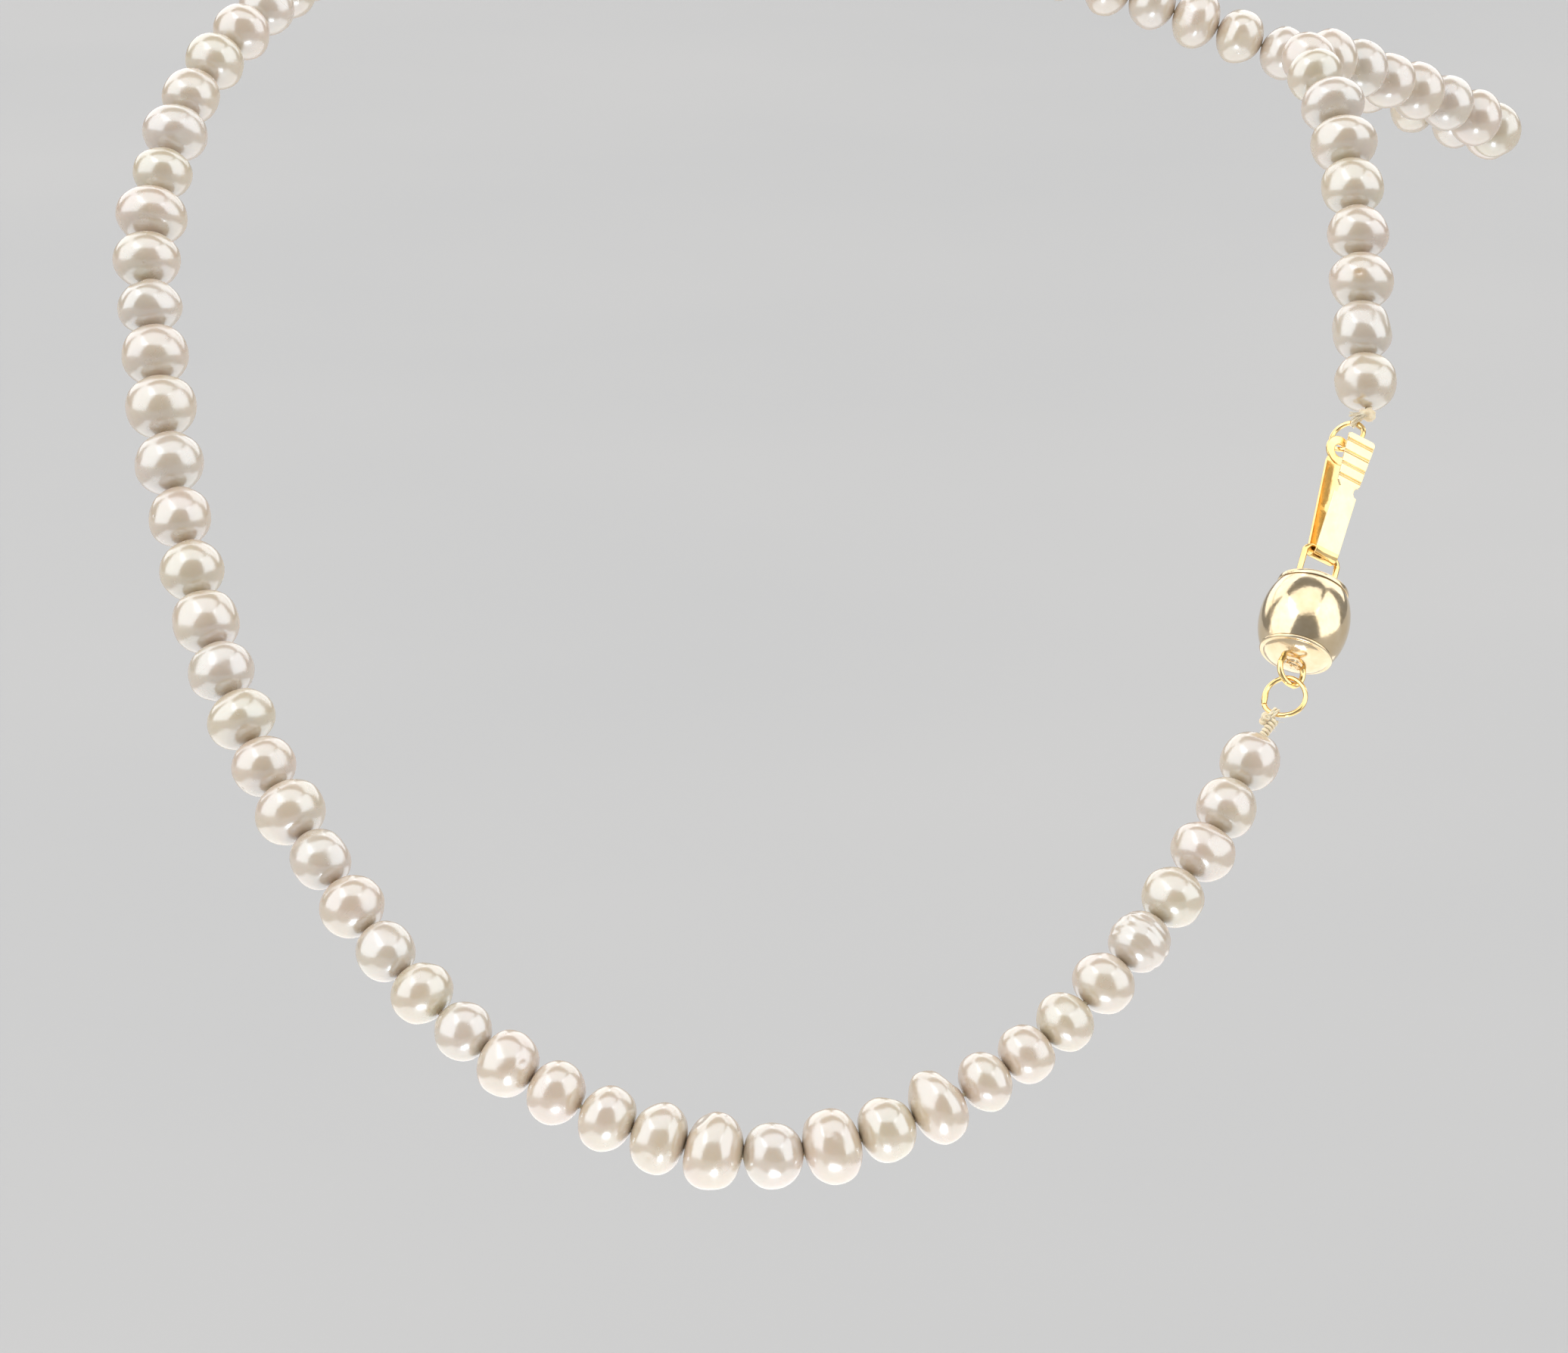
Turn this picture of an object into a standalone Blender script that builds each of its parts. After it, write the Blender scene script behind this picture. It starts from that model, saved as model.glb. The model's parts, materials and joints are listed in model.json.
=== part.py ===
"""A strand of drilled freshwater pearls with a fish-hook ball clasp, lying as it is worn.

Frame: metres, +Z up, +X to the right of someone who faces the wearer, -Y towards that person.
The origin is where the strand rests on the back of the neck. Lengths below are millimetres.

Pearls count from the lower knot: down to the lowest point, up the left side, round the neck and
down the right side to the upper knot. Gap number n lies just after pearl n.
"""
import math

import bmesh
import bpy
from mathutils import Matrix, Vector

MM = 0.001

# ---------------------------------------------------------------- driving dimensions
PEARL_GAP = 0.35
PEARL_HOLE_RADIUS = 0.58
THREAD_RADIUS = 0.25
CLEARANCE = 0.25

# across sizes of the pearls, from the lower knot on: the front and the left side
FRONT_ACROSS = [
    6.9, 7.0, 7.5, 7.2, 7.0, 7.3, 6.9, 6.8, 7.0, 8.5, 7.5, 8.5, 7.4, 8.8,
    8.1, 7.6, 7.4, 7.5, 6.8, 7.4, 6.8, 7.6, 6.9, 8.2, 7.5, 7.9, 7.8, 7.9,
    7.6, 7.5, 8.2, 8.6, 8.0, 7.8, 8.3, 8.8, 7.3, 8.0, 7.1, 7.5, 7.4,
]
# the back of the neck repeats one hand of pearls
BACK_ACROSS = [7.2, 7.6, 7.1, 7.9, 7.4]
BACK_COUNT = 31
# the right side, on to the upper knot
RIGHT_ACROSS = [
    7.2, 7.4, 7.3, 7.5, 7.2, 7.4, 7.3, 7.0, 7.2, 8.0, 8.3, 7.6, 7.6, 7.8, 7.2, 7.4,
]
ACROSS = FRONT_ACROSS + [BACK_ACROSS[n % 5] for n in range(BACK_COUNT)] + RIGHT_ACROSS
PEARL_COUNT = len(ACROSS)
# lengths of the same pearls along the thread; those behind the neck share what is left
FRONT_ALONG = [
    6.9, 6.7, 6.5, 6.8, 6.8, 6.6, 6.2, 5.7, 5.8, 6.2, 6.4, 6.5, 6.8, 6.5,
    6.2, 6.3, 6.4, 6.5, 6.6, 6.6, 6.8, 7.0, 7.1, 6.9, 6.8, 6.7, 6.8, 7.1,
    7.3, 7.4, 7.6, 7.7, 7.0, 6.6, 6.7, 6.4, 6.2, 6.5, 6.5, 6.3, 6.3,
]
RIGHT_ALONG = [
    6.0, 6.2, 6.4, 6.4, 6.3, 6.2, 6.5, 6.2, 5.9, 6.1, 6.4, 6.7, 6.7, 7.0, 7.3, 7.3,
]

# pearls that stay single, and the joined runs round the back of the neck
LEFT_SINGLES = range(1, 40)
RIGHT_SINGLES = range(83, PEARL_COUNT + 1)
BACK_RUNS = {"neck_left_run": (40, 53), "neck_back_run": (54, 67), "neck_right_run": (68, 82)}

# the clasp's own frame: its origin at the ball's centre, +Z along the strand to the upper knot
CLASP_CENTRE = Vector((62.5, -111.7, -66.3))
CLASP_UP = Vector((0.267, 0.667, 0.693)).normalized()
CLASP_BACK = Vector((0.0, 0.961, -0.276))
TONGUE_TURN = math.radians(25)

BALL_RADIUS = 5.3
BALL_RIM_RADIUS = 4.2
BALL_HALF_HEIGHT = 4.1
BALL_WALL = 0.5
BAIL_WIRE = 0.36
BAIL_HALF_WIDTH = 2.4
BAIL_TOP = 9.6
EYE_WIRE = 0.36
EYE_RADIUS = 1.8
EYE_Z = -6.6
EYE_TURN = math.radians(30)
RING_WIRE = 0.29
LOWER_RING_RADIUS = 2.5
LOWER_RING_Z = -10.14
LOWER_RING_TURN = math.radians(-24)
UPPER_RING_RADIUS = 2.1
UPPER_RING_Z = 25.84
UPPER_RING_TURN = math.radians(-40)
KNOT_RADIUS = 0.8
KNOT_LOOP_RADIUS = 0.74
KNOT_LOOP_WIRE = 0.2
LOWER_KNOT_Z = -14.2
UPPER_KNOT_Z = 29.3
LOWER_END_Z = -16.0
UPPER_END_Z = 30.25
# each link hangs a little askew on the one before, in the plane that faces forwards
TONGUE_LEAN = math.radians(-4.8)
UPPER_RING_LEAN = math.radians(16)
UPPER_KNOT_LEAN = math.radians(12)
LOWER_KNOT_LEAN = math.radians(13.5)

LEAF_THICKNESS = 0.35
LEAF_WIDTH = 3.2
FOLD_RADIUS = 0.93
TONGUE_EYE_Z = 23.5
TONGUE_EYE_OUTER = 1.9
TONGUE_EYE_HOLE = 0.78
THUMB_TOP_Z = 23.6
THUMB_FORWARD = 4.4
THUMB_LENGTH = 5.8
THUMB_TOP_WIDTH = 3.9
THUMB_FOOT_WIDTH = 3.15
NOTCH_WIDTH = 2.0
NOTCH_LENGTH = 1.35
RIB_COUNT = 4
RIB_HEIGHT = 0.16

# ---------------------------------------------------------------- the strand's route
# from the lower knot, by hand: down the front, up the left side of the chest, round the neck,
# over the right shoulder and down to the upper knot
STRAND_ROUTE = [
    (49.3, -133.2, -88), (41.6, -141, -96.2), (32.9, -147.8, -103.3), (23.8, -152.5, -108.5),
    (12.7, -156.1, -112.7), (0, -158, -115), (-12.9, -156.4, -113), (-24.2, -152.8, -108.8),
    (-34.8, -147.7, -103.2), (-43.5, -140.8, -96), (-51.3, -132.7, -87.6), (-58.2, -124.3, -79.1),
    (-63.5, -115.6, -70.3), (-67.5, -106.1, -60.6), (-70.9, -96.1, -50.1), (-73.3, -85.8, -39),
    (-75, -76.6, -29.5), (-73.4, -67.4, -20.7), (-70.6, -57.4, -12.9), (-64.7, -48.2, -6.8),
    (-60, -37, -3.5), (-54, -24, -1.5), (-44, -12.5, 0), (-30, -4.5, 0.5),
    (-15, -0.8, 0.4), (0, 0, 0), (22, 0.5, -3), (46, -2.5, -9.5),
    (70, -6, -18), (88, -10, -24.5), (95.5, -16, -26.5), (94, -22.6, -24.2),
    (86.4, -30, -19.3), (77.9, -38.3, -15.2), (70.3, -46.2, -10.9), (65.7, -51.2, -10.8),
    (68.2, -56.6, -11.6), (70.4, -65.6, -18.8), (71.5, -75.2, -28.1), (71.1, -84.9, -38.1),
]
ROUTE_STEPS = 40


def clasp_matrix(turn=0.0):
    """The clasp's frame in the world, turned about its own length."""
    side = CLASP_BACK.cross(CLASP_UP).normalized()
    back = CLASP_UP.cross(side)
    axes = Matrix((side, back, CLASP_UP)).transposed().to_4x4()
    return Matrix.Translation(CLASP_CENTRE) @ axes @ Matrix.Rotation(turn, 4, "Z")


def leaned(place, height, lean):
    """A frame leaned sideways about a point up its own length."""
    there = Matrix.Translation((0, 0, height))
    return place @ there @ Matrix.Rotation(lean, 4, "Y") @ there.inverted()


def turned_frame(place, turn):
    return place @ Matrix.Rotation(turn, 4, "Z")


TONGUE_PLACE = leaned(clasp_matrix(), BAIL_TOP, TONGUE_LEAN)
TONGUE_FRAME = turned_frame(TONGUE_PLACE, TONGUE_TURN)
UPPER_RING_PLACE = leaned(TONGUE_PLACE, TONGUE_EYE_Z, UPPER_RING_LEAN)
UPPER_RING_FRAME = turned_frame(UPPER_RING_PLACE, UPPER_RING_TURN)
UPPER_KNOT_FRAME = leaned(UPPER_RING_FRAME, UPPER_RING_Z, UPPER_KNOT_LEAN)
LOWER_RING_FRAME = turned_frame(clasp_matrix(), LOWER_RING_TURN)
LOWER_KNOT_FRAME = leaned(LOWER_RING_FRAME, LOWER_RING_Z, LOWER_KNOT_LEAN)


def smooth_route():
    """Points closely spaced along a smooth curve through the route's own points."""
    points = [LOWER_KNOT_FRAME @ Vector((0, 0, LOWER_END_Z))]
    points += [Vector(p) for p in STRAND_ROUTE]
    points += [UPPER_KNOT_FRAME @ Vector((0, 0, UPPER_END_Z))]
    before = points[0] * 2 - points[1]
    after = points[-1] * 2 - points[-2]
    guide = [before] + points + [after]
    curve = []
    for a, b, c, d in zip(guide, guide[1:], guide[2:], guide[3:]):
        for step in range(ROUTE_STEPS):
            t = step / ROUTE_STEPS
            bend = (2 * a - 5 * b + 4 * c - d) * t * t + (3 * b - a - 3 * c + d) * t * t * t
            curve.append(b + ((c - a) * t + bend) / 2)
    curve.append(points[-1])
    return curve


def gap_points():
    """Where the thread passes from pearl to pearl: gap 0 at the lower knot, the last at the upper."""
    curve = smooth_route()
    lengths = [0.0]
    for a, b in zip(curve, curve[1:]):
        lengths.append(lengths[-1] + (b - a).length)
    spare = lengths[-1] - sum(FRONT_ALONG) - sum(RIGHT_ALONG)
    along = FRONT_ALONG + [spare / BACK_COUNT] * BACK_COUNT + RIGHT_ALONG
    gaps = []
    reached = 0.0
    index = 0
    for pitch in [0.0] + along:
        reached = min(reached + pitch, lengths[-1])
        while index < len(lengths) - 2 and lengths[index + 1] < reached:
            index += 1
        share = (reached - lengths[index]) / (lengths[index + 1] - lengths[index])
        gaps.append(curve[index].lerp(curve[index + 1], share))
    return gaps


GAPS = gap_points()

# ---------------------------------------------------------------- mesh helpers


def material(name, colour, roughness, metallic):
    made = bpy.data.materials.new(name)
    made.use_nodes = True
    shader = made.node_tree.nodes["Principled BSDF"]
    shader.inputs["Base Color"].default_value = (*colour, 1.0)
    shader.inputs["Roughness"].default_value = roughness
    shader.inputs["Metallic"].default_value = metallic
    made.diffuse_color = (*colour, 1.0)
    return made


def frame_along(start, end):
    """A frame at the middle of two points, its +Z from the first to the second."""
    turn = (end - start).to_track_quat("Z", "Y")
    return Matrix.Translation((start + end) / 2) @ turn.to_matrix().to_4x4()


def closed_turning(profile, segments):
    """A mesh turned about Z from a closed outline of (radius, height) points, outside first."""
    shape = bmesh.new()
    rings = []
    for radius, height in profile:
        ring = []
        for n in range(segments):
            angle = math.tau * n / segments
            ring.append(shape.verts.new((radius * math.cos(angle), radius * math.sin(angle), height)))
        rings.append(ring)
    for ring, following in zip(rings, rings[1:] + rings[:1]):
        for n in range(segments):
            m = (n + 1) % segments
            shape.faces.new((ring[n], ring[m], following[m], following[n]))
    bmesh.ops.recalc_face_normals(shape, faces=shape.faces)
    return shape


def prism(outline, low, high, plane="XZ"):
    """A solid from an outline: in the XZ plane it runs along Y, in the YZ plane along X."""
    shape = bmesh.new()
    ends = []
    for depth in (low, high):
        ring = []
        for a, b in outline:
            place = (a, depth, b) if plane == "XZ" else (depth, a, b)
            ring.append(shape.verts.new(place))
        ends.append(ring)
    shape.faces.new(ends[0])
    shape.faces.new(list(reversed(ends[1])))
    count = len(outline)
    for n in range(count):
        m = (n + 1) % count
        shape.faces.new((ends[0][n], ends[0][m], ends[1][m], ends[1][n]))
    bmesh.ops.recalc_face_normals(shape, faces=shape.faces)
    return shape


def add_piece(name, shape, look, place, smooth=True):
    """An object from a mesh made in millimetres, at a place given in millimetres."""
    bmesh.ops.scale(shape, vec=(MM, MM, MM), verts=shape.verts)
    mesh = bpy.data.meshes.new(name)
    shape.to_mesh(mesh)
    shape.free()
    if smooth:
        mesh.shade_smooth()
        mesh.set_sharp_from_angle(angle=math.radians(50))
    piece = bpy.data.objects.new(name, mesh)
    bpy.context.scene.collection.objects.link(piece)
    piece.matrix_world = in_metres(place)
    if look:
        mesh.materials.append(look)
    return piece


def in_metres(place):
    scaled = place.copy()
    scaled.translation = place.translation * MM
    return scaled


def cutter(name, shape, place):
    piece = add_piece(name, shape, None, place, smooth=False)
    piece.hide_render = True
    piece.display_type = "WIRE"
    return piece


def boolean(piece, other, operation):
    change = piece.modifiers.new(other.name, "BOOLEAN")
    change.operation = operation
    change.solver = "EXACT"
    change.object = other


def wire(name, points, radius, look, place=None):
    """A round wire through points in millimetres, with flat ends."""
    data = bpy.data.curves.new(name, "CURVE")
    data.dimensions = "3D"
    data.bevel_depth = radius * MM
    data.bevel_resolution = 2
    data.use_fill_caps = True
    spline = data.splines.new("POLY")
    spline.points.add(len(points) - 1)
    for point, place_on_wire in zip(spline.points, points):
        point.co = (*(Vector(place_on_wire) * MM), 1.0)
    data.materials.append(look)
    piece = bpy.data.objects.new(name, data)
    bpy.context.scene.collection.objects.link(piece)
    if place:
        piece.matrix_world = in_metres(place)
    return piece


def arc(centre, radius, start, end, steps):
    """Points on an arc, in degrees from the first axis towards the second."""
    points = []
    for n in range(steps + 1):
        angle = math.radians(start + (end - start) * n / steps)
        points.append((centre[0] + radius * math.cos(angle), centre[1] + radius * math.sin(angle)))
    return points


# ---------------------------------------------------------------- pearls


def pearl_outline(across, along):
    """Half a pearl's section, from one mouth of its hole over the girdle to the other."""
    half = along / 2
    girdle = across / 2
    outer = [(girdle * r, half * z) for r, z in ((0.66, 0.79), (0.98, 0.28), (0.98, -0.28), (0.66, -0.79))]
    return [(PEARL_HOLE_RADIUS, half)] + outer + [(PEARL_HOLE_RADIUS, -half)]


def single_pearl(number, look):
    start = GAPS[number - 1]
    end = GAPS[number]
    along = (end - start).length - PEARL_GAP
    shape = closed_turning(pearl_outline(ACROSS[number - 1], along), 10)
    return add_piece(f"pearl_{number:02d}", shape, look, frame_along(start, end))


def pearl_run(name, first, last, look):
    """Neighbouring pearls as one solid: they meet at narrow waists, with one hole through all."""
    waist = 1.5
    sides = 8
    shape = bmesh.new()
    origin = GAPS[first - 1]
    stations = []
    for number in range(first, last + 1):
        start = GAPS[number - 1]
        end = GAPS[number]
        girdle = ACROSS[number - 1] / 2
        ahead = (end - start).normalized()
        if number == first:
            stations.append((start + ahead * PEARL_GAP / 2, ahead, waist))
        for share, radius in ((0.2, 0.84), (0.5, 1.0), (0.8, 0.84)):
            stations.append((start.lerp(end, share), ahead, girdle * radius))
        if number == last:
            stations.append((end - ahead * PEARL_GAP / 2, ahead, waist))
        else:
            onward = (GAPS[number + 1] - end).normalized()
            stations.append((end, (ahead + onward).normalized(), waist))
    outer = []
    inner = []
    side = Vector((0, 0, 1))
    for place, ahead, radius in stations:
        side = (side - ahead * side.dot(ahead)).normalized()
        other = ahead.cross(side)
        spokes = [math.tau * n / sides for n in range(sides)]
        rim = [side * math.cos(a) + other * math.sin(a) for a in spokes]
        outer.append([shape.verts.new(place - origin + r * radius) for r in rim])
        if radius == waist:
            inner.append([shape.verts.new(place - origin + r * PEARL_HOLE_RADIUS) for r in rim])
    for rings in (outer, inner):
        for ring, following in zip(rings, rings[1:]):
            for n in range(sides):
                m = (n + 1) % sides
                shape.faces.new((ring[n], ring[m], following[m], following[n]))
    for a, b in ((outer[0], inner[0]), (outer[-1], inner[-1])):
        for n in range(sides):
            m = (n + 1) % sides
            shape.faces.new((a[n], a[m], b[m], b[n]))
    bmesh.ops.recalc_face_normals(shape, faces=shape.faces)
    return add_piece(name, shape, look, Matrix.Translation(origin))


# ---------------------------------------------------------------- thread and knots


def silk_thread(look):
    """One thread through every pearl, from knot to knot."""
    points = list(GAPS)
    return wire("silk_thread", points, THREAD_RADIUS, look)


def knot(name, frame, wire_z, knot_z, look):
    """A tied knot: a small ball, and the thread's loop round the jump ring's wire."""
    ball = bmesh.new()
    bmesh.ops.create_icosphere(ball, subdivisions=2, radius=KNOT_RADIUS)
    tied = add_piece(name, ball, look, frame @ Matrix.Translation((0, 0, knot_z)))
    section = arc((KNOT_LOOP_RADIUS, 0), KNOT_LOOP_WIRE, 360, 60, 5)
    upright = Matrix.Rotation(math.radians(90), 4, "Y")
    place = frame @ Matrix.Translation((0, 0, wire_z)) @ upright
    loop = cutter(name + "_loop", closed_turning(section, 20), place)
    boolean(tied, loop, "UNION")
    return tied


# ---------------------------------------------------------------- ball clasp


def jump_ring(name, frame, radius, z, look):
    section = arc((radius, 0), RING_WIRE, 360, 45, 7)
    upright = Matrix.Rotation(math.radians(90), 4, "X")
    place = frame @ Matrix.Translation((0, 0, z)) @ upright
    return add_piece(name, closed_turning(section, 28), look, place)


def ball_shell(look):
    """A hollow barrel: round sides, open at both ends."""
    rise = math.degrees(math.acos((BALL_RIM_RADIUS - 2.0) / (BALL_RADIUS - 2.0)))
    steps = 8
    outer = []
    for n in range(steps + 1):
        angle = math.radians(rise - 2 * rise * n / steps)
        height = BALL_HALF_HEIGHT * math.sin(angle) / math.sin(math.radians(rise))
        outer.append((2.0 + (BALL_RADIUS - 2.0) * math.cos(angle), height))
    inner = [(radius - BALL_WALL, height) for radius, height in reversed(outer)]
    return add_piece("ball_shell", closed_turning(outer + inner, 24), look, clasp_matrix())


def ball_top_cap(look):
    """The end disc that the tongue pushes through, with a rolled rim."""
    rim = BALL_RIM_RADIUS
    low = BALL_HALF_HEIGHT + CLEARANCE
    outline = [(0.6, low + 0.55), (rim - 0.7, low + 0.5), (rim - 0.25, low + 0.55)]
    outline += [(rim, low + 0.35), (rim, low), (0.6, low)]
    cap = add_piece("ball_top_cap", closed_turning(outline, 24), look, clasp_matrix(TONGUE_TURN))
    half = LEAF_WIDTH / 2 + 0.25
    slot = prism([(-half, low - 1), (half, low - 1), (half, low + 2), (-half, low + 2)], -1.2, 1.2)
    boolean(cap, cutter("tongue_slot", slot, clasp_matrix(TONGUE_TURN)), "DIFFERENCE")
    return cap


def ball_bottom_cap(look):
    """The stepped end disc, with a small boss that the eye loop comes out of."""
    high = -BALL_HALF_HEIGHT - CLEARANCE
    rim = BALL_RIM_RADIUS
    outline = [(rim, high), (rim, high - 0.12), (rim - 0.45, high - 0.2), (rim - 0.9, high - 0.3)]
    outline += [(1.5, high - 0.42), (1.3, high - 0.5), (0.45, high - 0.5), (0.45, high)]
    return add_piece("ball_bottom_cap", closed_turning(outline, 24), look, clasp_matrix())


def catch_bail(look):
    """The wire staple over the ball's slot that the tongue hooks on."""
    foot = BALL_HALF_HEIGHT + CLEARANCE + 0.55 + CLEARANCE
    corner = 0.9
    inner = BAIL_HALF_WIDTH - corner
    left = arc((-inner, BAIL_TOP - corner), corner, 180, 90, 5)
    right = arc((inner, BAIL_TOP - corner), corner, 90, 0, 5)
    flat = [(-BAIL_HALF_WIDTH, foot)] + left + right + [(BAIL_HALF_WIDTH, foot)]
    points = [(x, 0, z) for x, z in flat]
    return wire("catch_bail", points, BAIL_WIRE, look, clasp_matrix(TONGUE_TURN))


def ball_eye_loop(look):
    """The wire eye under the ball. Its two ends stop just under the bottom cap's boss."""
    flat = arc((0, EYE_Z), EYE_RADIUS, 90 + 58, 450 - 58, 18)
    points = [(x, 0, z) for x, z in flat]
    return wire("ball_eye_loop", points, EYE_WIRE, look, clasp_matrix(EYE_TURN))


# ---------------------------------------------------------------- tongue


def tongue_line(z, front):
    """How far forward a leaf's middle is at a height: the fold's radius at the bail, then slanting."""
    rise = z - BAIL_TOP
    if front:
        return FOLD_RADIUS + (THUMB_FORWARD - FOLD_RADIUS) * rise / (THUMB_TOP_Z - BAIL_TOP)
    return -FOLD_RADIUS + FOLD_RADIUS * rise / (TONGUE_EYE_Z - BAIL_TOP)


def tongue_base_leaf(look):
    """The rear leaf: an eye at the top, a straight strip, and the fold under the bail at its foot."""
    half = LEAF_THICKNESS / 2
    top = TONGUE_EYE_Z - 1.2
    # forward is -Y in the tongue's frame
    outer_fold = arc((0, BAIL_TOP), FOLD_RADIUS + half, 0, -180, 12)
    inner_fold = arc((0, BAIL_TOP), FOLD_RADIUS - half, -180, 0, 12)
    back = -tongue_line(top, False)
    outline = [(back + half, top)] + outer_fold + inner_fold + [(back - half, top)]
    strip = prism(outline, -LEAF_WIDTH / 2, LEAF_WIDTH / 2, "YZ")
    leaf = add_piece("tongue_base_leaf", strip, look, TONGUE_FRAME, smooth=False)
    disc = arc((0, TONGUE_EYE_Z), TONGUE_EYE_OUTER, 0, 345, 23)
    eye = cutter("tongue_eye", prism(disc, -half, half), TONGUE_FRAME)
    hole = arc((0, TONGUE_EYE_Z), TONGUE_EYE_HOLE, 0, 337.5, 15)
    bore = cutter("tongue_eye_hole", prism(hole, -2, 2), TONGUE_FRAME)
    boolean(leaf, eye, "UNION")
    boolean(leaf, bore, "DIFFERENCE")
    return leaf


def spring_leaf_outline():
    """The front leaf seen from in front: blade, notched neck and tapered thumb piece."""
    foot = BAIL_TOP + CLEARANCE
    thumb_foot = THUMB_TOP_Z - THUMB_LENGTH
    blade_top = thumb_foot - NOTCH_LENGTH
    blade = LEAF_WIDTH / 2
    right = [(blade, foot), (blade, blade_top - 0.3), (NOTCH_WIDTH / 2, blade_top)]
    right += [(NOTCH_WIDTH / 2, thumb_foot - 0.2), (THUMB_FOOT_WIDTH / 2, thumb_foot)]
    right += [(THUMB_TOP_WIDTH / 2, THUMB_TOP_Z - 0.4), (THUMB_TOP_WIDTH / 2 - 0.4, THUMB_TOP_Z)]
    return right + [(-x, z) for x, z in reversed(right)]


def tongue_spring_leaf(look):
    """The sprung front leaf, with ribs across the thumb piece. It flexes about the fold."""
    half = LEAF_THICKNESS / 2
    foot = BAIL_TOP + CLEARANCE
    slope = (tongue_line(THUMB_TOP_Z, True) - tongue_line(foot, True)) / (THUMB_TOP_Z - foot)

    def front(z):
        return -(tongue_line(foot, True) + slope * (z - foot))

    back_edge = [(front(foot) + half, foot), (front(THUMB_TOP_Z) + half, THUMB_TOP_Z)]
    front_edge = [(front(THUMB_TOP_Z) - half, THUMB_TOP_Z)]
    spacing = THUMB_LENGTH / (RIB_COUNT + 0.4)
    for n in range(RIB_COUNT):
        z = THUMB_TOP_Z - spacing * (n + 0.55)
        front_edge += [(front(z) - half, z), (front(z - 0.18) - half - RIB_HEIGHT, z - 0.18)]
        front_edge += [(front(z - 0.42) - half - RIB_HEIGHT, z - 0.42), (front(z - 0.6) - half, z - 0.6)]
    front_edge += [(front(foot) - half, foot)]
    side = prism(back_edge + front_edge, -3, 3, "YZ")
    pivot = Matrix.Translation((0, 0, BAIL_TOP))
    place = TONGUE_FRAME @ pivot
    bmesh.ops.translate(side, vec=(0, 0, -BAIL_TOP), verts=side.verts)
    leaf = add_piece("tongue_spring_leaf", side, look, place, smooth=False)
    plan = cutter("spring_leaf_plan", prism(spring_leaf_outline(), -6, 6), TONGUE_FRAME)
    boolean(leaf, plan, "INTERSECT")
    return leaf


# ---------------------------------------------------------------- assembly


def main():
    for item in list(bpy.data.objects):
        bpy.data.objects.remove(item)
    nacre = material("nacre", (0.86, 0.80, 0.68), 0.25, 0.0)
    silk = material("silk", (0.72, 0.62, 0.45), 0.8, 0.0)
    gold = material("gold_plate", (0.90, 0.66, 0.27), 0.2, 1.0)

    for number in list(LEFT_SINGLES) + list(RIGHT_SINGLES):
        single_pearl(number, nacre)
    for name, (first, last) in BACK_RUNS.items():
        pearl_run(name, first, last, nacre)

    silk_thread(silk)
    lower_wire = LOWER_RING_Z - LOWER_RING_RADIUS
    upper_wire = UPPER_RING_Z + UPPER_RING_RADIUS
    knot("lower_knot", LOWER_KNOT_FRAME, lower_wire, LOWER_KNOT_Z, silk)
    knot("upper_knot", UPPER_KNOT_FRAME, upper_wire, UPPER_KNOT_Z, silk)

    jump_ring("lower_jump_ring", LOWER_RING_FRAME, LOWER_RING_RADIUS, LOWER_RING_Z, gold)
    jump_ring("upper_jump_ring", UPPER_RING_FRAME, UPPER_RING_RADIUS, UPPER_RING_Z, gold)
    ball_shell(gold)
    ball_top_cap(gold)
    ball_bottom_cap(gold)
    catch_bail(gold)
    ball_eye_loop(gold)
    tongue_base_leaf(gold)
    tongue_spring_leaf(gold)


main()
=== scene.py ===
import json
import math
import random

import bmesh
import bpy
from mathutils import Matrix, Vector, noise

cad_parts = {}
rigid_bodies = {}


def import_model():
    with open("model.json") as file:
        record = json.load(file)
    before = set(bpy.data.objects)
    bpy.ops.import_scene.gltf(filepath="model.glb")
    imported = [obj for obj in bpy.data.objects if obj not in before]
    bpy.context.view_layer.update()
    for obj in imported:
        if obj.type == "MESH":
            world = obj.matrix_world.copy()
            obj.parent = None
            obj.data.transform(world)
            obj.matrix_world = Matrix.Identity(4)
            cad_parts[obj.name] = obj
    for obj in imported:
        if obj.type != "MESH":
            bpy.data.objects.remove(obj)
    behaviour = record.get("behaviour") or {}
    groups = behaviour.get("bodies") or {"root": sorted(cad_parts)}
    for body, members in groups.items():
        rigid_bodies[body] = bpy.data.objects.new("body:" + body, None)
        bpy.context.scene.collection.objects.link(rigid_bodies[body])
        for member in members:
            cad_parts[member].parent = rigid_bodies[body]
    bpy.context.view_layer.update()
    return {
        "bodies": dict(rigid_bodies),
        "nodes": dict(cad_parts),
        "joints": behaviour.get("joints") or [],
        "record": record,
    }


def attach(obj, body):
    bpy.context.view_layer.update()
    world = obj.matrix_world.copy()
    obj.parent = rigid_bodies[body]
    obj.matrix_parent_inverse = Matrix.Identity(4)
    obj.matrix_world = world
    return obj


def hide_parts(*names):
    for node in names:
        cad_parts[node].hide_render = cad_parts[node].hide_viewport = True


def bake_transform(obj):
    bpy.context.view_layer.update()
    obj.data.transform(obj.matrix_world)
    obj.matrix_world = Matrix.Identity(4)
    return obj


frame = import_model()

MM = 0.001

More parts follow.
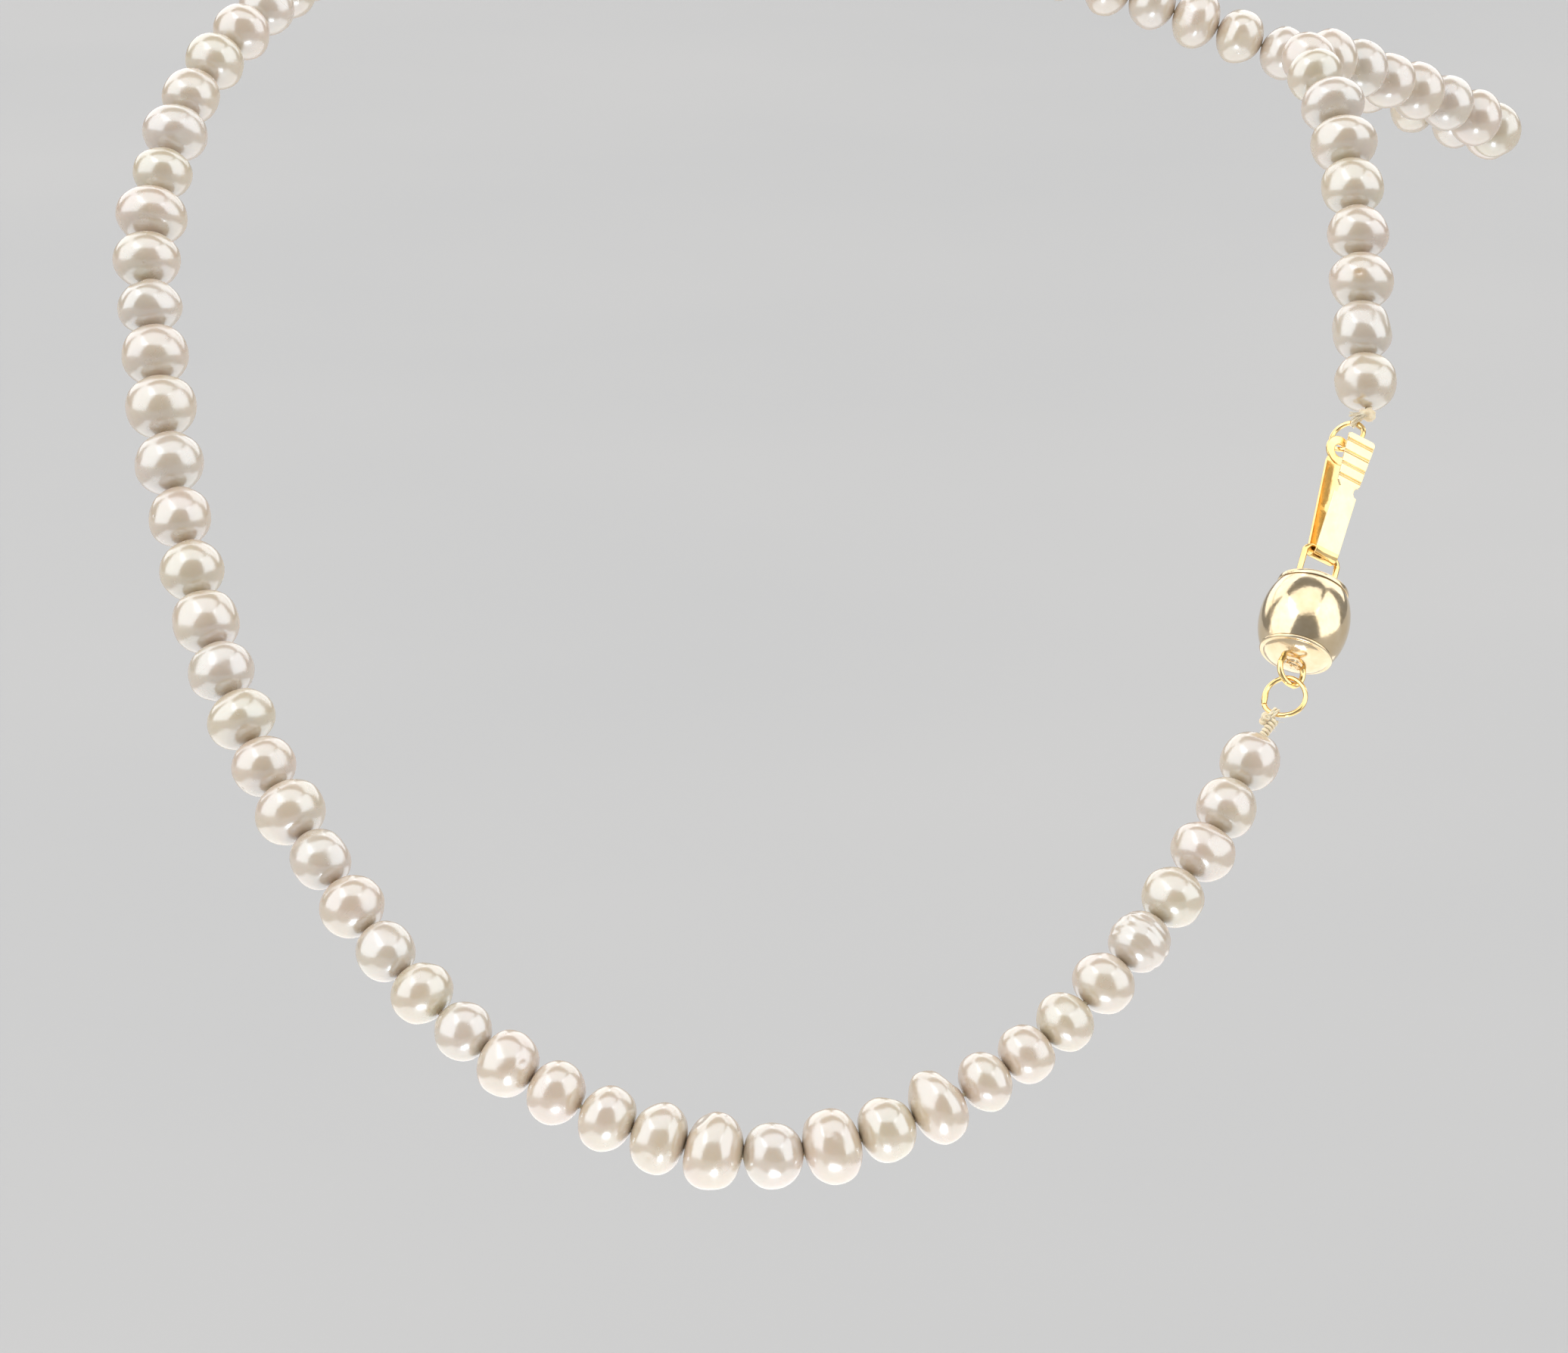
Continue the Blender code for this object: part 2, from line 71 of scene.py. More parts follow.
# ---------------------------------------------------------------- the strand, as part.py has it
FRONT_ACROSS = [
    6.9, 7.0, 7.5, 7.2, 7.0, 7.3, 6.9, 6.8, 7.0, 8.5, 7.5, 8.5, 7.4, 8.8,
    8.1, 7.6, 7.4, 7.5, 6.8, 7.4, 6.8, 7.6, 6.9, 8.2, 7.5, 7.9, 7.8, 7.9,
    7.6, 7.5, 8.2, 8.6, 8.0, 7.8, 8.3, 8.8, 7.3, 8.0, 7.1, 7.5, 7.4,
]
BACK_ACROSS = [7.2, 7.6, 7.1, 7.9, 7.4]
BACK_COUNT = 31
RIGHT_ACROSS = [
    7.2, 7.4, 7.3, 7.5, 7.2, 7.4, 7.3, 7.0, 7.2, 8.0, 8.3, 7.6, 7.6, 7.8, 7.2, 7.4,
]
ACROSS = FRONT_ACROSS + [BACK_ACROSS[n % 5] for n in range(BACK_COUNT)] + RIGHT_ACROSS
PEARL_COUNT = len(ACROSS)
# lengths of the same pearls along the thread; those behind the neck share what is left
FRONT_ALONG = [
    6.9, 6.7, 6.5, 6.8, 6.8, 6.6, 6.2, 5.7, 5.8, 6.2, 6.4, 6.5, 6.8, 6.5,
    6.2, 6.3, 6.4, 6.5, 6.6, 6.6, 6.8, 7.0, 7.1, 6.9, 6.8, 6.7, 6.8, 7.1,
    7.3, 7.4, 7.6, 7.7, 7.0, 6.6, 6.7, 6.4, 6.2, 6.5, 6.5, 6.3, 6.3,
]
RIGHT_ALONG = [
    6.0, 6.2, 6.4, 6.4, 6.3, 6.2, 6.5, 6.2, 5.9, 6.1, 6.4, 6.7, 6.7, 7.0, 7.3, 7.3,
]

CLASP_CENTRE = Vector((62.5, -111.7, -66.3))
CLASP_UP = Vector((0.267, 0.667, 0.693)).normalized()
CLASP_BACK = Vector((0.0, 0.961, -0.276))
TONGUE_TURN = math.radians(25)
BAIL_TOP = 9.6
TONGUE_EYE_Z = 23.5
LOWER_RING_RADIUS = 2.5
LOWER_RING_Z = -10.14
LOWER_RING_TURN = math.radians(-24)
UPPER_RING_RADIUS = 2.1
UPPER_RING_Z = 25.84
UPPER_RING_TURN = math.radians(-40)
LOWER_END_Z = -16.0
UPPER_END_Z = 30.25
TONGUE_LEAN = math.radians(-4.8)
UPPER_RING_LEAN = math.radians(16)
UPPER_KNOT_LEAN = math.radians(12)
LOWER_KNOT_LEAN = math.radians(13.5)

STRAND_ROUTE = [
    (49.3, -133.2, -88), (41.6, -141, -96.2), (32.9, -147.8, -103.3), (23.8, -152.5, -108.5),
    (12.7, -156.1, -112.7), (0, -158, -115), (-12.9, -156.4, -113), (-24.2, -152.8, -108.8),
    (-34.8, -147.7, -103.2), (-43.5, -140.8, -96), (-51.3, -132.7, -87.6), (-58.2, -124.3, -79.1),
    (-63.5, -115.6, -70.3), (-67.5, -106.1, -60.6), (-70.9, -96.1, -50.1), (-73.3, -85.8, -39),
    (-75, -76.6, -29.5), (-73.4, -67.4, -20.7), (-70.6, -57.4, -12.9), (-64.7, -48.2, -6.8),
    (-60, -37, -3.5), (-54, -24, -1.5), (-44, -12.5, 0), (-30, -4.5, 0.5),
    (-15, -0.8, 0.4), (0, 0, 0), (22, 0.5, -3), (46, -2.5, -9.5),
    (70, -6, -18), (88, -10, -24.5), (95.5, -16, -26.5), (94, -22.6, -24.2),
    (86.4, -30, -19.3), (77.9, -38.3, -15.2), (70.3, -46.2, -10.9), (65.7, -51.2, -10.8),
    (68.2, -56.6, -11.6), (70.4, -65.6, -18.8), (71.5, -75.2, -28.1), (71.1, -84.9, -38.1),
]
ROUTE_STEPS = 40


def clasp_matrix(turn=0.0):
    """The clasp's frame: origin at the ball's centre, +Z along the strand to the upper knot."""
    side = CLASP_BACK.cross(CLASP_UP).normalized()
    back = CLASP_UP.cross(side)
    axes = Matrix((side, back, CLASP_UP)).transposed().to_4x4()
    return Matrix.Translation(CLASP_CENTRE) @ axes @ Matrix.Rotation(turn, 4, "Z")


def leaned(place, height, lean):
    """A frame leaned sideways about a point up its own length."""
    there = Matrix.Translation((0, 0, height))
    return place @ there @ Matrix.Rotation(lean, 4, "Y") @ there.inverted()


def turned_frame(place, turn):
    return place @ Matrix.Rotation(turn, 4, "Z")


TONGUE_PLACE = leaned(clasp_matrix(), BAIL_TOP, TONGUE_LEAN)
TONGUE_FRAME = turned_frame(TONGUE_PLACE, TONGUE_TURN)
UPPER_RING_PLACE = leaned(TONGUE_PLACE, TONGUE_EYE_Z, UPPER_RING_LEAN)
UPPER_RING_FRAME = turned_frame(UPPER_RING_PLACE, UPPER_RING_TURN)
UPPER_KNOT_FRAME = leaned(UPPER_RING_FRAME, UPPER_RING_Z, UPPER_KNOT_LEAN)
LOWER_RING_FRAME = turned_frame(clasp_matrix(), LOWER_RING_TURN)
LOWER_KNOT_FRAME = leaned(LOWER_RING_FRAME, LOWER_RING_Z, LOWER_KNOT_LEAN)


def catmull(points, steps):
    """Points closely spaced along a smooth curve through the given ones."""
    points = [Vector(p) for p in points]
    guide = [points[0] * 2 - points[1]] + points + [points[-1] * 2 - points[-2]]
    curve = []
    for a, b, c, d in zip(guide, guide[1:], guide[2:], guide[3:]):
        for step in range(steps):
            t = step / steps
            bend = (2 * a - 5 * b + 4 * c - d) * t * t + (3 * b - a - 3 * c + d) * t * t * t
            curve.append(b + ((c - a) * t + bend) / 2)
    curve.append(points[-1])
    return curve


def gap_points():
    """Where the thread passes from pearl to pearl: gap 0 at the lower knot, the last at the upper."""
    ends = [LOWER_KNOT_FRAME @ Vector((0, 0, LOWER_END_Z)), UPPER_KNOT_FRAME @ Vector((0, 0, UPPER_END_Z))]
    curve = catmull(ends[:1] + STRAND_ROUTE + ends[1:], ROUTE_STEPS)
    lengths = [0.0]
    for a, b in zip(curve, curve[1:]):
        lengths.append(lengths[-1] + (b - a).length)
    spare = lengths[-1] - sum(FRONT_ALONG) - sum(RIGHT_ALONG)
    along = FRONT_ALONG + [spare / BACK_COUNT] * BACK_COUNT + RIGHT_ALONG
    gaps = []
    reached = 0.0
    index = 0
    for pitch in [0.0] + along:
        reached = min(reached + pitch, lengths[-1])
        while index < len(lengths) - 2 and lengths[index + 1] < reached:
            index += 1
        share = (reached - lengths[index]) / (lengths[index + 1] - lengths[index])
        gaps.append(curve[index].lerp(curve[index + 1], share))
    return gaps


GAPS = gap_points()

# each drape level: the stretches of thread it carries, from gap to gap
LEVELS = {
    "neck_strand": [(37, 82)],
    "upper_strand": [(34, 37), (82, 85)],
    "clasp_top_strand": [(31, 34), (85, 88)],
    "upper_ring_link": [(30, 31)],
    "tongue_link": [(29, 30)],
    "ball_link": [(26, 29)],
    "lower_ring_link": [(25, 26)],
    "lower_knot_strand": [(22, 25), (0, 3)],
    "front_strand": [(19, 22), (3, 6)],
    "low_strand": [(16, 19), (6, 9)],
    "bottom_strand": [(9, 16)],
}
BACK_RUNS = {"neck_left_run": (40, 53), "neck_back_run": (54, 67), "neck_right_run": (68, 82)}
# the pearls that don't turn on the thread
FIXED_PEARLS = {83: "upper_strand", 86: "clasp_top_strand", 4: "front_strand", 7: "low_strand",
                10: "bottom_strand"}


def pearl_body(number):
    if 40 <= number <= 82:
        return "neck_strand"
    return FIXED_PEARLS.get(number, f"pearl_{number:02d}")


# ---------------------------------------------------------------- materials


def node_material(name):
    made = bpy.data.materials.new(name)
    made.use_nodes = True
    tree = made.node_tree
    shader = tree.nodes["Principled BSDF"]
    coords = tree.nodes.new("ShaderNodeTexCoord")
    return made, tree, shader, coords.outputs["Object"]


def noise_node(tree, place, scale, detail=2.0, roughness=0.5, offset=0.0):
    """Noise in the part's own metres, shifted so that two noises never repeat each other."""
    shift = tree.nodes.new("ShaderNodeMapping")
    shift.inputs["Location"].default_value = (offset, offset * 0.7, offset * 1.3)
    tree.links.new(place, shift.inputs["Vector"])
    made = tree.nodes.new("ShaderNodeTexNoise")
    made.inputs["Scale"].default_value = scale
    made.inputs["Detail"].default_value = detail
    made.inputs["Roughness"].default_value = roughness
    tree.links.new(shift.outputs["Vector"], made.inputs["Vector"])
    return made.outputs["Fac"]


def ramp(tree, value, low, high, to_low=0.0, to_high=1.0):
    made = tree.nodes.new("ShaderNodeMapRange")
    made.inputs["From Min"].default_value = low
    made.inputs["From Max"].default_value = high
    made.inputs["To Min"].default_value = to_low
    made.inputs["To Max"].default_value = to_high
    tree.links.new(value, made.inputs["Value"])
    return made.outputs["Result"]


def mix_colour(tree, share, first, second):
    made = tree.nodes.new("ShaderNodeMix")
    made.data_type = "RGBA"
    tree.links.new(share, made.inputs["Factor"])
    for socket, value in ((made.inputs["A"], first), (made.inputs["B"], second)):
        for candidate in made.inputs:
            if candidate.name == socket.name and candidate.type == "RGBA":
                if isinstance(value, tuple):
                    candidate.default_value = (*value, 1.0)
                else:
                    tree.links.new(value, candidate)
    return next(out for out in made.outputs if out.type == "RGBA")


def maths(tree, operation, first, second):
    made = tree.nodes.new("ShaderNodeMath")
    made.operation = operation
    for socket, value in zip(made.inputs, (first, second)):
        if isinstance(value, (int, float)):
            socket.default_value = value
        else:
            tree.links.new(value, socket)
    return made.outputs["Value"]


def bump(tree, height, strength, distance, before=None):
    made = tree.nodes.new("ShaderNodeBump")
    made.inputs["Strength"].default_value = strength
    made.inputs["Distance"].default_value = distance
    tree.links.new(height, made.inputs["Height"])
    if before:
        tree.links.new(before, made.inputs["Normal"])
    return made.outputs["Normal"]


def nacre(name, body, blush, green):
    """Layered nacre: a warm body, soft pink and green clouds, a darker drill mouth, a cool sheen."""
    made, tree, shader, place = node_material(name)
    clouds = ramp(tree, noise_node(tree, place, 210, 2, 0.5, 1.0), 0.38, 0.62)
    colour = mix_colour(tree, clouds, body, blush)
    tint = ramp(tree, noise_node(tree, place, 150, 2, 0.5, 4.0), 0.52, 0.72, 0.0, 0.7)
    colour = mix_colour(tree, tint, colour, green)
    stain = tree.nodes.new("ShaderNodeAttribute")
    stain.attribute_name = "stain"
    colour = mix_colour(tree, stain.outputs["Fac"], colour, (0.60, 0.38, 0.17))
    tree.links.new(colour, shader.inputs["Base Color"])
    rough = ramp(tree, noise_node(tree, place, 320, 3, 0.6, 7.0), 0.3, 0.7, 0.21, 0.29)
    tree.links.new(rough, shader.inputs["Roughness"])
    shader.inputs["IOR"].default_value = 2.15
    shader.inputs["Metallic"].default_value = 0.04
    shader.inputs["Specular Tint"].default_value = (0.74, 0.88, 1.0, 1.0)
    shader.inputs["Specular IOR Level"].default_value = 1.0
    shader.inputs["Subsurface Weight"].default_value = 0.22
    shader.inputs["Subsurface Radius"].default_value = (1.0, 0.62, 0.38)
    shader.inputs["Subsurface Scale"].default_value = 0.0006
    shader.inputs["Coat Weight"].default_value = 0.6
    shader.inputs["Coat Roughness"].default_value = 0.09
    shader.inputs["Coat IOR"].default_value = 1.55
    # long waves, then the fine unevenness of the layers, then rare pin pits
    normal = bump(tree, noise_node(tree, place, 420, 2, 0.5, 12.0), 0.2, 0.0002)
    normal = bump(tree, noise_node(tree, place, 1900, 3, 0.55, 15.0), 0.10, 0.00005, normal)
    cells = tree.nodes.new("ShaderNodeTexVoronoi")
    cells.inputs["Scale"].default_value = 260
    tree.links.new(place, cells.inputs["Vector"])
    pit = ramp(tree, cells.outputs["Distance"], 0.02, 0.07, 1.0, 0.0)
    chosen = maths(tree, "GREATER_THAN", cells.outputs["Color"], 0.62)
    pit = maths(tree, "MULTIPLY", pit, chosen)
    dent = maths(tree, "MULTIPLY", pit, -1.0)
    normal = bump(tree, dent, 0.6, 0.00012, normal)
    tree.links.new(normal, shader.inputs["Normal"])
    tree.links.new(normal, shader.inputs["Coat Normal"])
    return made


def gold(name, light, red, roughness, peel, brushed=False):
    """Polished plate: a pale yellow gold with redder clouds, orange peel and hair scratches."""
    made, tree, shader, place = node_material(name)
    clouds = ramp(tree, noise_node(tree, place, 450, 3, 0.6, 2.0), 0.35, 0.7)
    colour = mix_colour(tree, clouds, light, red)
    tree.links.new(colour, shader.inputs["Base Color"])
    shader.inputs["Metallic"].default_value = 1.0
    wear = ramp(tree, noise_node(tree, place, 900, 3, 0.7, 5.0), 0.3, 0.75, roughness, roughness + 0.10)
    tree.links.new(wear, shader.inputs["Roughness"])
    stretched = tree.nodes.new("ShaderNodeMapping")
    stretched.inputs["Rotation"].default_value = (0.55, -0.35, 0.0)
    stretched.inputs["Scale"].default_value = (1.0, 1.0, 0.06) if brushed else (1.0, 0.08, 1.0)
    tree.links.new(place, stretched.inputs["Vector"])
    scratches = noise_node(tree, stretched.outputs["Vector"], 7000, 2, 0.6, 3.0)
    normal = bump(tree, noise_node(tree, place, 1500, 2, 0.5, 8.0), peel, 0.00009)
    normal = bump(tree, scratches, 0.10 if brushed else 0.05, 0.00003, normal)
    tree.links.new(normal, shader.inputs["Normal"])
    return made


def silk():
    made, tree, shader, place = node_material("silk_thread_beige")
    clouds = ramp(tree, noise_node(tree, place, 900, 3, 0.6, 1.5), 0.35, 0.7)
    tree.links.new(mix_colour(tree, clouds, (0.86, 0.76, 0.56), (0.68, 0.55, 0.36)),
                   shader.inputs["Base Color"])
    shader.inputs["Roughness"].default_value = 0.5
    shader.inputs["Subsurface Weight"].default_value = 0.35
    shader.inputs["Subsurface Radius"].default_value = (1.0, 0.7, 0.4)
    shader.inputs["Subsurface Scale"].default_value = 0.0004
    shader.inputs["Sheen Weight"].default_value = 0.3
    fibres = noise_node(tree, place, 9000, 2, 0.6, 6.0)
    tree.links.new(bump(tree, fibres, 0.4, 0.00003), shader.inputs["Normal"])
    return made


def floor_material():
    made, tree, shader, place = node_material("pale_floor")
    clouds = ramp(tree, noise_node(tree, place, 3, 3, 0.5, 0.3), 0.3, 0.7)
    tree.links.new(mix_colour(tree, clouds, (0.43, 0.43, 0.43), (0.45, 0.447, 0.444)),
                   shader.inputs["Base Color"])
    shader.inputs["Roughness"].default_value = 0.85
    shader.inputs["Specular IOR Level"].default_value = 0.1
    return made


NACRES = {
    "cream": nacre("nacre_cream", (0.61, 0.485, 0.335), (0.62, 0.48, 0.355), (0.595, 0.49, 0.33)),
    "peach": nacre("nacre_peach", (0.615, 0.48, 0.335), (0.625, 0.475, 0.355), (0.60, 0.485, 0.335)),
    "straw": nacre("nacre_straw", (0.605, 0.49, 0.323), (0.615, 0.485, 0.34), (0.59, 0.492, 0.32)),
    "silver": nacre("nacre_silver", (0.60, 0.487, 0.36), (0.61, 0.482, 0.37), (0.58, 0.488, 0.35)),
}
GOLD_POLISHED = gold("gold_polished", (0.95, 0.72, 0.35), (0.87, 0.59, 0.24), 0.09, 0.12)
GOLD_BALL = gold("gold_ball", (0.80, 0.66, 0.46), (0.73, 0.57, 0.35), 0.11, 0.16)
GOLD_LEAF = gold("gold_leaf", (0.96, 0.77, 0.44), (0.92, 0.70, 0.37), 0.18, 0.05, brushed=True)
SILK = silk()

# ---------------------------------------------------------------- mesh helpers


def make_piece(name, shape, look, body, place=None, sharp=40.0):
    """A piece from a mesh made in millimetres in its own frame, set down where it lies."""
    if place:
        bmesh.ops.transform(shape, matrix=place, verts=shape.verts)
    bmesh.ops.scale(shape, vec=(MM, MM, MM), verts=shape.verts)
    bmesh.ops.recalc_face_normals(shape, faces=shape.faces)
    mesh = bpy.data.meshes.new(name)
    shape.to_mesh(mesh)
    shape.free()
    mesh.shade_smooth()
    mesh.set_sharp_from_angle(angle=math.radians(sharp))
    mesh.materials.append(look)
    piece = bpy.data.objects.new(name, mesh)
    bpy.context.scene.collection.objects.link(piece)
    if body:
        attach(piece, body)
    return piece


def skin(shape, rings, caps=True, looped=False):
    """Joins rings of equal counts with quads, and closes the two ends or the last ring to the first."""
    pairs = list(zip(rings, rings[1:]))
    if looped:
        pairs.append((rings[-1], rings[0]))
    count = len(rings[0])
    for a, b in pairs:
        for n in range(count):
            m = (n + 1) % count
            shape.faces.new((a[n], a[m], b[m], b[n]))
    if caps and not looped:
        shape.faces.new(list(reversed(rings[0])))
        shape.faces.new(rings[-1])


def turned(profile, segments=96):
    """A closed outline of (radius, height) points turned about Z."""
    shape = bmesh.new()
    rings = []
    for n in range(segments):
        angle = math.tau * n / segments
        c, s = math.cos(angle), math.sin(angle)
        rings.append([shape.verts.new((r * c, r * s, z)) for r, z in profile])
    skin(shape, rings, caps=False, looped=True)
    return shape


def rounded(outline, radius):
    """A closed outline with its corners rounded; a point may carry a radius of its own."""
    steps = 4
    made = []
    count = len(outline)
    for n in range(count):
        here = Vector(outline[n][:2])
        bend = outline[n][2] if len(outline[n]) > 2 else radius
        before = Vector(outline[n - 1][:2]) - here
        after = Vector(outline[(n + 1) % count][:2]) - here
        reach = min(bend, before.length * 0.48, after.length * 0.48)
        a = here + before.normalized() * reach
        b = here + after.normalized() * reach
        for step in range(steps + 1):
            t = step / steps
            made.append(tuple(a.lerp(here, t).lerp(here.lerp(b, t), t)))
    return made


def tube(points, radius, sides=12, looped=False, shape=None, round_ends=True):
    """A round wire along points. The radius is one number or one for each point."""
    shape = shape or bmesh.new()
    points = [Vector(p) for p in points]
    count = len(points)
    radii = list(radius) if isinstance(radius, (list, tuple)) else [radius] * count
    ahead = []
    for n in range(count):
        before = points[n - 1] if n or looped else points[0]
        after = points[(n + 1) % count] if n < count - 1 or looped else points[-1]
        ahead.append((after - before).normalized())
    side = ahead[0].orthogonal().normalized()
    rings = []
    first_side = side.copy()
    sides_at = []
    for n in range(count):
        side = (side - ahead[n] * side.dot(ahead[n])).normalized()
        sides_at.append(side.copy())
    twist = 0.0
    if looped:
        last = (sides_at[-1] - ahead[0] * sides_at[-1].dot(ahead[0])).normalized()
        twist = math.atan2(last.cross(first_side).dot(ahead[0]), last.dot(first_side))
    stations = []
    for n in range(count):
        turn = Matrix.Rotation(twist * n / count, 3, ahead[n])
        stations.append((points[n], turn @ sides_at[n], ahead[n], radii[n]))
    if round_ends and not looped:
        start, end = stations[0], stations[-1]
        lead, tail = [], []
        for step in (80, 50, 22):
            lift, shrink = math.sin(math.radians(step)), math.cos(math.radians(step))
            lead.append((start[0] - start[2] * start[3] * lift, start[1], start[2], start[3] * shrink))
            tail.insert(0, (end[0] + end[2] * end[3] * lift, end[1], end[2], end[3] * shrink))
        stations = lead + stations + tail
    for place, across, forward, size in stations:
        other = forward.cross(across)
        ring = []
        for k in range(sides):
            angle = math.tau * k / sides
            ring.append(shape.verts.new(place + (across * math.cos(angle) + other * math.sin(angle)) * size))
        rings.append(ring)
    skin(shape, rings, caps=not looped, looped=looped)
    return shape


def twisted(points, plies, offset, ply_radius, turns_per_mm, shape=None):
    """A thread of plies wound round one another."""
    shape = shape or bmesh.new()
    points = [Vector(p) for p in points]
    travelled = 0.0
    side = (points[1] - points[0]).orthogonal().normalized()
    lines = [[] for _ in range(plies)]
    for n, place in enumerate(points):
        ahead = (points[min(n + 1, len(points) - 1)] - points[max(n - 1, 0)]).normalized()
        if n:
            travelled += (place - points[n - 1]).length
        side = (side - ahead * side.dot(ahead)).normalized()
        other = ahead.cross(side)
        for k in range(plies):
            angle = math.tau * (k / plies + travelled * turns_per_mm)
            lines[k].append(place + (side * math.cos(angle) + other * math.sin(angle)) * offset)
    for line in lines:
        tube(line, ply_radius, 7, shape=shape)
    return shape


def circle(radius, z, start, end, steps):
    """Points on an upright arc about height z, in degrees from +X towards +Z."""
    made = []
    for n in range(steps + 1):
        angle = math.radians(start + (end - start) * n / steps)
        made.append((radius * math.cos(angle), 0.0, z + radius * math.sin(angle)))
    return made


# ---------------------------------------------------------------- pearls
TOWARDS_VIEWER = Vector((0.0, -0.96, 0.28))
HOLE_RADIUS = 0.36
PEARL_GAP = 0.05
# the gaps at which the strand bends, and how much the pearls beside them are shortened there
BENDING_GAPS = {gap for stretches in LEVELS.values() for stretch in stretches for gap in stretch}
BEND_ROOM = 0.10
# marks on single pearls: direction as (inward, back, along), spread in radians, height in millimetres
MARKS = {
    3: [((-0.5, -0.5, -0.6), 0.5, 0.15), ((0.9, -0.2, 0.2), 0.4, -0.12)],
    5: [((0.75, -0.55, -0.25), 0.26, 0.32), ((0.75, -0.55, -0.25), 0.48, -0.16)],
    8: [((-0.8, -0.4, 0.1), 0.5, -0.12)],
    10: [((0.95, -0.1, 0.3), 0.55, 0.5), ((0.55, -0.2, -0.8), 0.6, -0.55), ((-0.6, -0.4, 0.5), 0.6, 0.25)],
    11: [((0.85, 0.0, -0.5), 0.5, -0.35), ((0.7, -0.3, 0.6), 0.5, 0.1)],
    12: [((0.45, -0.88, 0.1), 0.13, -0.10), ((0.30, -0.93, -0.15), 0.11, -0.09)],
    13: [((0.05, -0.45, 0.88), 0.22, -0.16), ((-0.5, -0.5, 0.6), 0.5, -0.10)],
    14: [((0.75, -0.2, 0.6), 0.5, -0.55), ((-0.5, -0.3, 0.7), 0.6, 0.28), ((0.95, -0.2, -0.2), 0.5, 0.12)],
    15: [((-0.55, -0.80, 0.05), 0.15, -0.16), ((0.8, -0.2, 0.5), 0.45, -0.15)],
    18: [((0.30, -0.72, -0.62), 0.16, -0.18), ((-0.7, -0.2, -0.7), 0.45, -0.22)],
    20: [((-0.45, -0.87, -0.2), 0.10, -0.08), ((0.8, -0.1, 0.55), 0.5, -0.18)],
    22: [((-0.3, -0.94, 0.0), 0.16, -0.06)],
    24: [((-0.8, -0.4, -0.4), 0.28, -0.14), ((-0.7, -0.3, 0.5), 0.4, -0.10)],
    28: [((0.2, -0.7, 0.6), 0.4, -0.14)],
    31: [((0.6, -0.5, 0.6), 0.4, -0.12)],
    34: [((-0.2, -0.6, 0.7), 0.45, -0.16)],
    38: [((0.4, -0.6, -0.6), 0.5, -0.2)],
    84: [((-0.45, -0.80, 0.15), 0.10, -0.08), ((-0.40, -0.86, 0.35), 0.08, -0.07)],
    86: [((0.15, -0.90, 0.30), 0.14, -0.16)],
}
# round the drilled axis: (along, width, depth) grooves of a circled pearl
CIRCLED = {5: [(-0.42, 0.10, 0.10), (-0.05, 0.09, 0.09), (0.38, 0.10, 0.12)]}
# how strong and how wide the stain is at a pearl's first mark
STAINED = {86: (0.9, 0.3), 12: (0.35, 0.2), 84: (0.5, 0.2), 15: (0.3, 0.15)}
TONES = ["cream", "silver", "cream", "peach", "straw", "silver", "cream", "straw", "peach", "silver",
         "cream"]
CHOSEN_TONES = {10: "peach", 9: "cream", 11: "straw", 12: "peach", 13: "silver", 14: "peach", 15: "cream",
                16: "cream", 17: "peach", 18: "peach", 19: "silver", 20: "straw", 21: "silver", 22: "peach",
                23: "silver", 86: "cream", 87: "silver", 88: "straw", 5: "silver", 1: "cream"}


def pearl_frame(number):
    """Local axes of a pearl: inward of the strand's loop, away from the viewer, along the thread."""
    start, end = GAPS[number - 1], GAPS[number]
    along = (end - start).normalized()
    front = TOWARDS_VIEWER - along * TOWARDS_VIEWER.dot(along)
    inward = along.cross(front).normalized()
    back = along.cross(inward)
    axes = Matrix((inward, back, along)).transposed().to_4x4()
    return Matrix.Translation((start + end) / 2) @ axes


